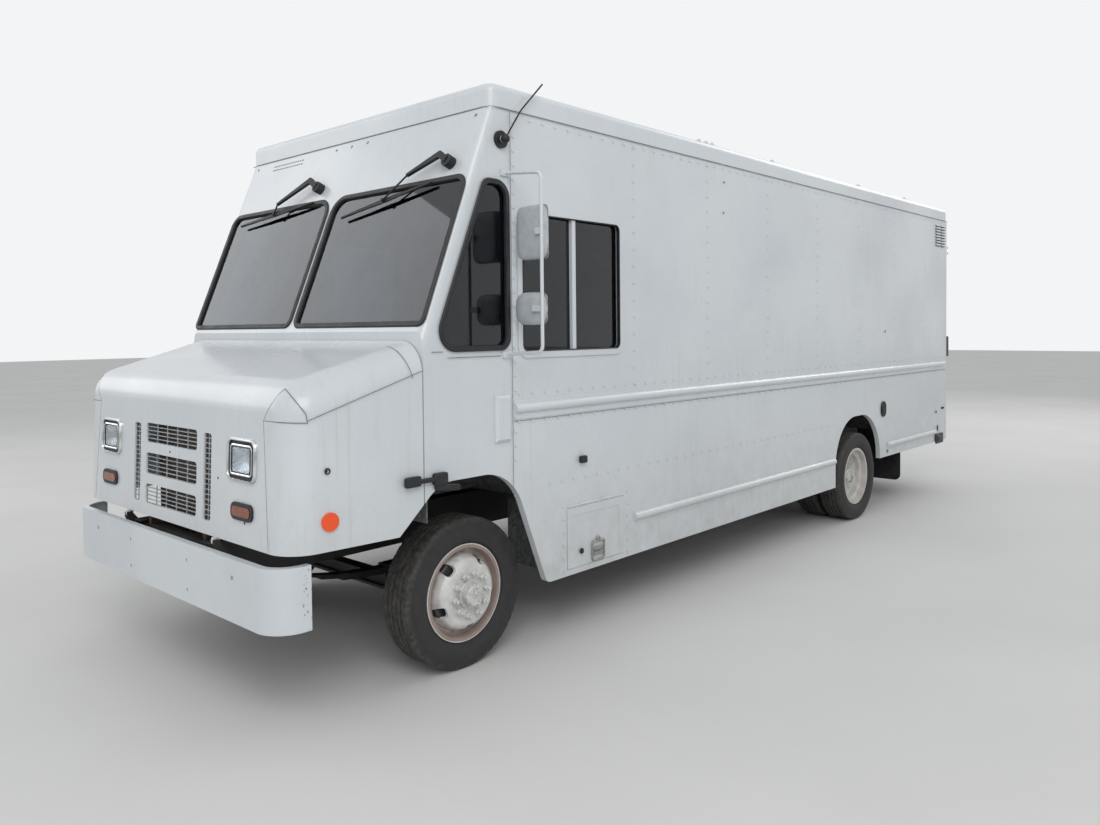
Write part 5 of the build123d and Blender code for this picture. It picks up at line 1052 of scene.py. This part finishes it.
# Fittings on the driver's wall: distance behind the front axle and height
LATCH, LATCH_KNOB, LATCH_GRIPS = (0.923, 0.480), (0.923, 0.548), [(0.923, 0.462), (0.923, 0.492)]
LOCK, PLUG, FILLER, FILLER_CAP = (0.769, 0.502), (0.781, 1.040), (5.317, 0.993), (5.317, 0.985)
SCREW = (5.422, 0.571)
# Bumper bolts: distance from the middle and height; antenna's cap: distance before the seam and below the eave
BOLT_X, BOLT_Z = 0.78, 0.690
ANTENNA_CAP = (0.067, 0.168)


class STEPVAN_OT_hardware(Operator):
    """Adds the small fittings: access latch and lock, plug, filler cap, antenna cap, bumper bolts"""
    bl_idname = "stepvan.hardware"
    bl_label = "Add small fittings"

    def execute(self, context):
        rim = carried([(-0.006, 0.0), (-0.006, 0.004), (0.0, 0.0065), (0.006, 0.004), (0.006, 0.0)],
                      wall_loop(*LATCH, 0.055, 0.055, 0.012), ACROSS)
        grips = [superellipsoid(wall_spot(*spot, 0.002), (0.004, 0.044, 0.011), 8.0, (14, 28))
                 for spot in LATCH_GRIPS]
        knob = turned([(0.0, 0.0), (0.0, 0.016), (0.006, 0.015), (0.009, 0.009), (0.009, 0.0)], 20,
                      wall_spot(*LATCH_KNOB), ACROSS)
        piece("access_latch", *joined(rim, *grips, knob), "zinc", "access_door", "chrome", 40)
        lock = turned([(0.0, 0.0), (0.0, 0.017), (0.005, 0.016), (0.007, 0.012), (0.0065, 0.0)], 20,
                      wall_spot(*LOCK), ACROSS)
        piece("access_lock", *lock, "trim", "access_door", "black_plastic", 40)
        plug = superellipsoid(wall_spot(*PLUG, 0.010), (0.012, 0.026, 0.021), 8.0, (14, 28))
        piece("inlet_plug", *plug, "trim", "chassis", "black_plastic", 50)
        spots = [(side * BOLT_X, FRONT_END, BOLT_Z) for side in SIDES]
        caps = turned([(-0.004, 0.0), (-0.004, 0.011), (0.0003, 0.0105), (0.0007, 0.006), (0.0008, 0.0)], 18,
                      spots, (0, -1, 0))
        piece("bumper_bolts", *caps, "zinc", "chassis", "chrome", 40)
        mouth = wall_loop(*FILLER, 0.055, 0.072, 0.0549, 12)
        lip = carried([(-0.005, 0.0), (-0.005, 0.003), (0.0, 0.005), (0.004, 0.003), (0.004, 0.0)], mouth,
                      ACROSS)
        cap = turned([(0.001, 0.0), (0.001, 0.041), (0.005, 0.040), (0.007, 0.034), (0.006, 0.0)], 24,
                     wall_spot(*FILLER_CAP), ACROSS)
        well = pad(mouth, ACROSS, 0.0008, 0.02)
        piece("filler_mouth", *joined(well, lip, cap), "trim", "chassis", "black_plastic", 40)
        button = turned([(0.013, 0.0), (0.013, 0.021), (0.018, 0.020), (0.022, 0.015), (0.024, 0.0)], 24,
                        (HALF_W, SEAM_Y - ANTENNA_CAP[0], EAVE_Z - ANTENNA_CAP[1]), ACROSS)
        piece("antenna_button", *button, "zinc", "chassis", "chrome", 40)
        return {"FINISHED"}


# Rounded blocks of a hood latch: x, distance behind the front axle, height, their halves and the lean
LATCH_BLOCKS = [
    (1.2155, -0.4755, 1.0775, 0.0100, 0.0475, 0.0255, 0.0),
    (1.2155, -0.3865, 1.0740, 0.0100, 0.0500, 0.0110, 0.0),
    (1.2139, -0.3040, 1.0715, 0.0136, 0.0430, 0.0305, 0.0),
    (1.2119, -0.2565, 1.0225, 0.0116, 0.0785, 0.0165, -0.55),
]


class STEPVAN_OT_latches(Operator):
    """Moulds the hood's rubber latches: head, strap, foot and the tail on the body"""
    bl_idname = "stepvan.latches"
    bl_label = "Mould hood latches"

    def execute(self, context):
        parts = []
        for side in SIDES:
            for x, y, z, half_x, half_y, half_z, lean in LATCH_BLOCKS:
                points, faces = superellipsoid((0.0, 0.0, 0.0), (half_x, half_y, half_z), 7.0, (24, 40))
                points[:, 2] += points[:, 1] / half_y * half_z * lean
                parts.append((points + np.array([side * x, AXLE_F + y, z]), faces))
        made = piece("latch_rubber", *joined(*parts), "rubber", "chassis", "rubber", 50)
        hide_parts("hood_latches")
        return {"FINISHED"}


# Slots above the windshield: height of each row and the places of its end slots across the van
HEADER_Z, HEADER_X = (2.918, 2.892), (-0.885, -0.540)
# Louvres: place of each column behind the front axle, and the foot and head of both
LOUVRE_Y, LOUVRE_Z = (6.852, 7.007), (2.665, 2.907)


class STEPVAN_OT_vents(Operator):
    """Lays near-black pads of painted shade in the header's vent slots and presses the louvres high on the
    driver's wall, with painted shade in the gap under each
    """
    bl_idname = "stepvan.vents"
    bl_label = "Add vents"

    def execute(self, context):
        size = context.scene.step_van
        slots = []
        for z in HEADER_Z:
            for x in np.linspace(*HEADER_X, size.header_slot_shade):
                rows = np.array(rectangle(x, up_shield(z), 0.0070, 0.0050, 0.003))
                rows[:, 0] += (-0.003, -0.003, 0.003, 0.003)
                slots.append(pad(on_shield(rounded(rows, 4)), SHIELD_OUT, 0.0008, 0.1))
        # Near-black pads in the slots: painted shade
        piece("header_slot_shade", *joined(*slots), "hollow", "chassis", "black_plastic", 40)
        hoods, shade_gaps = [], []
        low, high = LOUVRE_Z
        pitch = (high - low) / size.louvre_rows
        for column in LOUVRE_Y:
            for z in low + pitch * (np.arange(size.louvre_rows) + 0.5):
                loop = wall_loop(column, z + pitch * 0.12, 0.064, pitch * 0.26, 0.006, 4)
                hoods.append(pad(loop, ACROSS, 0.006, 0.25))
                # Near-black strip under each louvre: painted shade in its gap
                gap = wall_loop(column, z - pitch * 0.22, 0.062, pitch * 0.13, 0.0035, 4)
                shade_gaps.append(pad(gap, ACROSS, 0.0012, 0.05))
        piece("wall_louvres", *joined(*hoods), "paint", "chassis", "body_paint", 40)
        piece("louvre_gap_shade", *joined(*shade_gaps), "hollow", "chassis", "black_plastic", 40)
        return {"FINISHED"}


# Open holes, drawn as near-black pads of painted shade, and dark marks on the driver's wall: distance behind
# the front axle, height, half width and half height
WALL_MARKS = [
    (2.377, 2.837, 0.0065, 0.0065), (2.369, 2.619, 0.0065, 0.0065), (7.162, 2.669, 0.008, 0.012),
    (7.162, 2.606, 0.008, 0.012), (5.352, 1.745, 0.006, 0.014), (6.805, 0.851, 0.014, 0.014),
    (7.016, 0.879, 0.045, 0.010), (6.855, 0.667, 0.014, 0.034),
]
# Open holes in the hood's face, drawn as near-black pads of painted shade: distance from the middle and height
FACE_HOLES = [(-0.005, 1.183), (0.516, 1.105), (0.776, 0.925)]
# Rimmed hole in the hood's flank and rubber guard at the rear corner: distance behind the front axle and
# height
FLANK_HOLE, GUARD_SPOT = (-0.913, 1.181), (6.894, 0.552)
# Sealant domes along the roof's driver-side edge: distance behind the front axle
ROOF_DOMES = np.array([2.10, 2.19, 2.27, 3.15, 4.79, 5.94])


class STEPVAN_OT_marks(Operator):
    """Leaves the open holes as near-black pads of painted shade, the corner guard and the sealed screw heads
    where they are seen
    """
    bl_idname = "stepvan.marks"
    bl_label = "Leave holes and marks"

    def execute(self, context):
        dark = [pad(wall_loop(y, z, half_y, half_z, min(half_y, half_z) * 0.98, 5), ACROSS, 0.0010, 0.05)
                for y, z, half_y, half_z in WALL_MARKS]
        piece("wall_hole_shade", *joined(*dark), "hollow", "chassis", "black_plastic", 40)
        guard = [pad(wall_loop(*GUARD_SPOT, 0.118, 0.054, 0.012, 5), ACROSS, 0.010, 0.10),
                 pad(wall_loop(*GUARD_SPOT, 0.085, 0.030, 0.010, 5), ACROSS, 0.016, 0.10)]
        piece("corner_guard", *joined(*guard), "rubber", "chassis", "rubber", 40)
        head = superellipsoid(wall_spot(*SCREW), (0.0015, 0.013, 0.016), 2.2, (12, 28))
        piece("rusty_screw_head", *head, "iron", "chassis", "chrome", 60)
        small = [pad(face_ring(x, z, 0.012, 0.012, 0.0058, 5), FACE_OUT, 0.0008, 0.05) for x, z in FACE_HOLES]
        piece("face_hole_shade", *joined(*small), "hollow", "hood", "black_plastic", 40)
        y = AXLE_F + FLANK_HOLE[0]
        ring = [(-0.001, 0.0085), (0.0015, 0.0090), (0.0022, 0.0115), (0.0015, 0.0145), (-0.001, 0.0150)]
        rim = turned(ring, 24, (flank_x(y), y, FLANK_HOLE[1]), unit([1.0, -HOOD_TAPER, 0.0]))
        piece("hood_hole_rim", *rim, "rubber", "hood", "rubber", 40)
        y = AXLE_F + ROOF_DOMES
        spots = np.column_stack([np.full(len(y), HALF_W - 0.035), y, np.full(len(y), span("roof")[1][2])])
        dome = [(-0.012, 0.020), (0.004, 0.0195), (0.012, 0.014), (0.016, 0.007), (0.017, 0.0)]
        piece("roof_sealant", *turned(dome, 14, spots, (0.0, 0.0, 1.0)), "paint", "chassis", "body_paint", 60)
        return {"FINISHED"}


# Height between the seat's cushion and its back, frames of the cloth run and the farthest it may swell
SEAT_SPLIT_Z = 1.347
SEAT_FRAMES = 20
SEAT_SWELL = 0.012


class STEPVAN_OT_seat(Operator):
    """Inflates the driver's seat cushions under vinyl"""
    bl_idname = "stepvan.seat"
    bl_label = "Upholster the seat"

    def execute(self, context):
        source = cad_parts["seat_cushions"]
        mesh = source.data.copy()
        made = bpy.data.objects.new("seat_pads", mesh)
        context.scene.collection.objects.link(made)
        work = bmesh.new()
        work.from_mesh(mesh)
        bmesh.ops.remove_doubles(work, verts=work.verts, dist=1e-5)
        for above in (False, True):
            cushion = [vert for vert in work.verts if (vert.co.z > SEAT_SPLIT_Z) == above]
            centre = sum((vert.co for vert in cushion), Vector()) / len(cushion)
            for vert in cushion:
                vert.co = centre + (vert.co - centre) * 0.94
        work.to_mesh(mesh)
        work.free()
        mesh.materials.clear()
        mesh.materials.append(finish("vinyl"))
        context.view_layer.objects.active = made
        remesh = made.modifiers.new("voxels", "REMESH")
        remesh.mode = "VOXEL"
        remesh.voxel_size = 0.009
        bpy.ops.object.select_all(action="DESELECT")
        made.select_set(True)
        bpy.ops.object.modifier_apply(modifier="voxels")
        before = np.zeros(len(made.data.vertices) * 3)
        made.data.vertices.foreach_get("co", before)
        cloth = made.modifiers.new("stuffing", "CLOTH")
        cloth.settings.use_pressure = True
        cloth.settings.uniform_pressure_force = 4.0
        cloth.settings.effector_weights.gravity = 0.0
        cloth.point_cache.frame_start = 1
        cloth.point_cache.frame_end = SEAT_FRAMES
        for step in range(1, SEAT_FRAMES + 1):
            context.scene.frame_set(step)
        bpy.ops.object.modifier_apply(modifier="stuffing")
        context.scene.frame_set(1)
        after = np.zeros_like(before)
        made.data.vertices.foreach_get("co", after)
        move = (after - before).reshape(-1, 3)
        far = np.linalg.norm(move, axis=1, keepdims=True)
        move = move * np.minimum(1.0, SEAT_SWELL / np.maximum(far, 1e-9))
        made.data.vertices.foreach_set("co", (before.reshape(-1, 3) + move).ravel())
        made.data.shade_smooth()
        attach(made, "chassis")
        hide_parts("seat_cushions")
        return {"FINISHED"}


# Area lamps: name, place, aim and share of the main lamp's power; their side in metres
LAMPS = [
    ("key_lamp", (9.0, -9.5, 9.0), (0.0, -1.0, 1.4), 1.0),
    ("fill_lamp", (-10.0, -8.0, 6.0), (0.0, -2.0, 1.2), 0.35),
    ("back_lamp", (3.0, 13.0, 9.0), (0.0, 2.0, 1.5), 0.6),
]
LAMP_SIDE = 7.0
# Half side of the floor in metres, and the strength of the sky where it is seen or mirrored
FLOOR_REACH, BACKDROP = 60.0, 0.92


class STEPVAN_OT_stage(Operator):
    """Sets the floor, the soft lamps and the camera"""
    bl_idname = "stepvan.stage"
    bl_label = "Set the stage"

    def execute(self, context):
        size = context.scene.step_van
        scene = context.scene
        floor = bpy.data.meshes.new("studio_floor")
        corners = [(FLOOR_REACH * x, FLOOR_REACH * y, 0) for x, y in ((-1, -1), (1, -1), (1, 1), (-1, 1))]
        floor.from_pydata(corners, [], [(0, 1, 2, 3)])
        floor.materials.append(two_tone("pale_studio_floor", (2.0, 0.3, 0.7), "#D9D9D7", "#D2D2D0", (0.9, 0.9)))
        ground = bpy.data.objects.new("studio_floor", floor)
        scene.collection.objects.link(ground)
        world = bpy.data.worlds.new("studio")
        scene.world = world
        world.use_nodes = True
        tree = world.node_tree
        tree.nodes.clear()
        rays = add(tree, "LightPath").outputs
        shown = add(tree, "Math", {0: rays["Is Glossy Ray"], 1: rays["Is Transmission Ray"]},
                    operation="MAXIMUM")
        seen = add(tree, "Math", {0: rays["Is Camera Ray"], 1: shown}, operation="MAXIMUM")
        strength = add(tree, "MapRange", {"Value": seen, "To Min": size.sky_light, "To Max": BACKDROP})
        back = add(tree, "Background", {"Color": (0.97, 0.985, 1.0, 1.0), "Strength": strength})
        add(tree, "OutputWorld", {"Surface": back})
        for name, spot, aim, share in LAMPS:
            lamp = bpy.data.lights.new(name, "AREA")
            lamp.energy = size.key_power * share
            lamp.size = LAMP_SIDE
            holder = bpy.data.objects.new(name, lamp)
            holder.location = spot
            holder.rotation_euler = (Vector(aim) - Vector(spot)).to_track_quat("-Z", "Y").to_euler()
            scene.collection.objects.link(holder)
        camera = bpy.data.cameras.new("photo_camera")
        camera.sensor_width = 36.0
        camera.lens = size.lens
        camera.shift_y = size.shift
        camera.clip_end = 200.0
        seat = bpy.data.objects.new("photo_camera", camera)
        yaw, pitch, roll = (math.radians(a) for a in (size.yaw, size.pitch, size.roll))
        forward = Vector((math.sin(yaw) * math.cos(pitch), math.cos(yaw) * math.cos(pitch), math.sin(pitch)))
        right = Vector((math.cos(yaw), -math.sin(yaw), 0.0))
        up = right.cross(forward)
        level = right * math.cos(roll) + up * math.sin(roll)
        rise = up * math.cos(roll) - right * math.sin(roll)
        turn = Matrix((level, rise, -forward)).transposed().to_4x4()
        seat.matrix_world = Matrix.Translation((size.camera_x, size.camera_y, size.camera_z)) @ turn
        scene.collection.objects.link(seat)
        scene.camera = seat
        scene.view_settings.view_transform = "Standard"
        return {"FINISHED"}


# Settings, panel and run
def length(name, about, default):
    """Property of a length in metres."""
    return FloatProperty(name=name, description=about, default=default, unit="LENGTH")


def amount(name, about, default):
    """Property of a plain number."""
    return FloatProperty(name=name, description=about, default=default)


def count(name, about, default):
    """Property of a whole number."""
    return IntProperty(name=name, description=about, default=default, min=1)


def tint(name, about, default):
    """Property of an sRGB hex code."""
    return StringProperty(name=name, description=about, default=default)


class StepVanSettings(PropertyGroup):
    """Sizes, colours and camera that a user would change"""
    paint: tint("Paint", "Body paint, sRGB hex", "#D3D8DC")
    paint_shade: tint("Paint shade", "Body paint where it has weathered", "#C9CED3")
    rust: tint("Rust", "Rust on the wheels", "#7C5B4C")
    # Dark enough to stand for the shaded cab as well: partly tint, partly painted shade
    rubber: tint("Tyre", "Tyre compound", "#242426")
    glass: tint("Glass", "Tint of the safety glass", "#2F4A62")
    dust_film: amount("Dust film", "How far dust pales the glass", 0.25)
    tyre_steps: count("Tyre steps", "Divisions round a tyre", 288)
    zigzags: count("Zigzags", "Zigzags of a tread groove round the tyre", 48)
    zigzag_reach: length("Zigzag reach", "Sideways reach of a groove", 0.0025)
    groove_width: length("Groove width", "Width of a tread groove", 0.011)
    groove_depth: length("Groove depth", "Depth of a tread groove", 0.011)
    lug_count: count("Lug nuts", "Nuts on each wheel", 10)
    lug_radius: length("Lug circle", "Radius of the nut circle", 0.1125)
    hub_circle: length("Hub circle", "Radius of the bolt circle on a hub", 0.047)
    wheel_face: length("Wheel face", "Disc face outside the tyre's middle", 0.122)
    hub_reach: length("Hub reach", "Front hub's end outside the disc face", 0.052)
    rear_hub_reach: length("Rear hub reach", "Rear hub's end outside the twins' middle", 0.143)
    headlamp_x: length("Headlamp offset", "Headlamp centre from the middle", 0.748)
    headlamp_z: length("Headlamp height", "Headlamp centre above ground", 1.212)
    hood_edge: length("Hood edge", "Radius of the hood's edges", 0.158)
    cap_x: length("Corner cap", "Inner joint of the hood's corner cap", 0.927)
    cap_z: length("Corner cap height", "Lower joint of the corner cap", 1.398)
    header_slot_shade: count("Header slots", "Slots in each row above the windshield", 13)
    louvre_rows: count("Louvre rows", "Louvres in each column of the wall vent", 8)
    seam_width: length("Seam width", "Width of a sealed joint", 0.0036)
    rivet_radius: length("Rivet radius", "Radius of a dome rivet", 0.0065)
    key_power: amount("Key power", "Power of the main lamp in watts", 620.0)
    sky_light: amount("Sky light", "Strength of the surrounding light", 0.62)
    lens: amount("Lens", "Focal length on a 36 mm sensor", 28.30)
    shift: amount("Shift", "Vertical shift of the frame", -0.05336)
    yaw: amount("Yaw", "Camera heading in degrees from +Y", math.degrees(-0.73926))
    pitch: amount("Pitch", "Camera pitch in degrees", math.degrees(-0.02848))
    roll: amount("Roll", "Camera roll in degrees", math.degrees(-0.00975))
    camera_x: length("Camera X", "Camera place", 4.4648)
    camera_y: length("Camera Y", "Camera place", -6.1016)
    camera_z: length("Camera Z", "Camera place", 1.8002)


STEPS = (STEPVAN_OT_nodes, STEPVAN_OT_tyres, STEPVAN_OT_nuts, STEPVAN_OT_gaskets, STEPVAN_OT_mirrors,
         STEPVAN_OT_headlamps, STEPVAN_OT_rivets, STEPVAN_OT_seams, STEPVAN_OT_hardware,
         STEPVAN_OT_latches, STEPVAN_OT_vents, STEPVAN_OT_marks, STEPVAN_OT_seat, STEPVAN_OT_stage)


class STEPVAN_PT_panel(Panel):
    """Lists the steps that dress the van"""
    bl_label = "Step Van"
    bl_idname = "STEPVAN_PT_panel"
    bl_space_type = "VIEW_3D"
    bl_region_type = "UI"
    bl_category = "Step Van"

    def draw(self, context):
        for step in STEPS:
            self.layout.operator(step.bl_idname)


CLASSES = (StepVanSettings, *STEPS, STEPVAN_PT_panel)


def register():
    for item in CLASSES:
        bpy.utils.register_class(item)
    bpy.types.Scene.step_van = PointerProperty(type=StepVanSettings)


def unregister():
    del bpy.types.Scene.step_van
    for item in reversed(CLASSES):
        bpy.utils.unregister_class(item)


def main():
    register()
    for step in STEPS:
        group, _, name = step.bl_idname.partition(".")
        getattr(getattr(bpy.ops, group), name)()


if __name__ == "__main__":
    main()
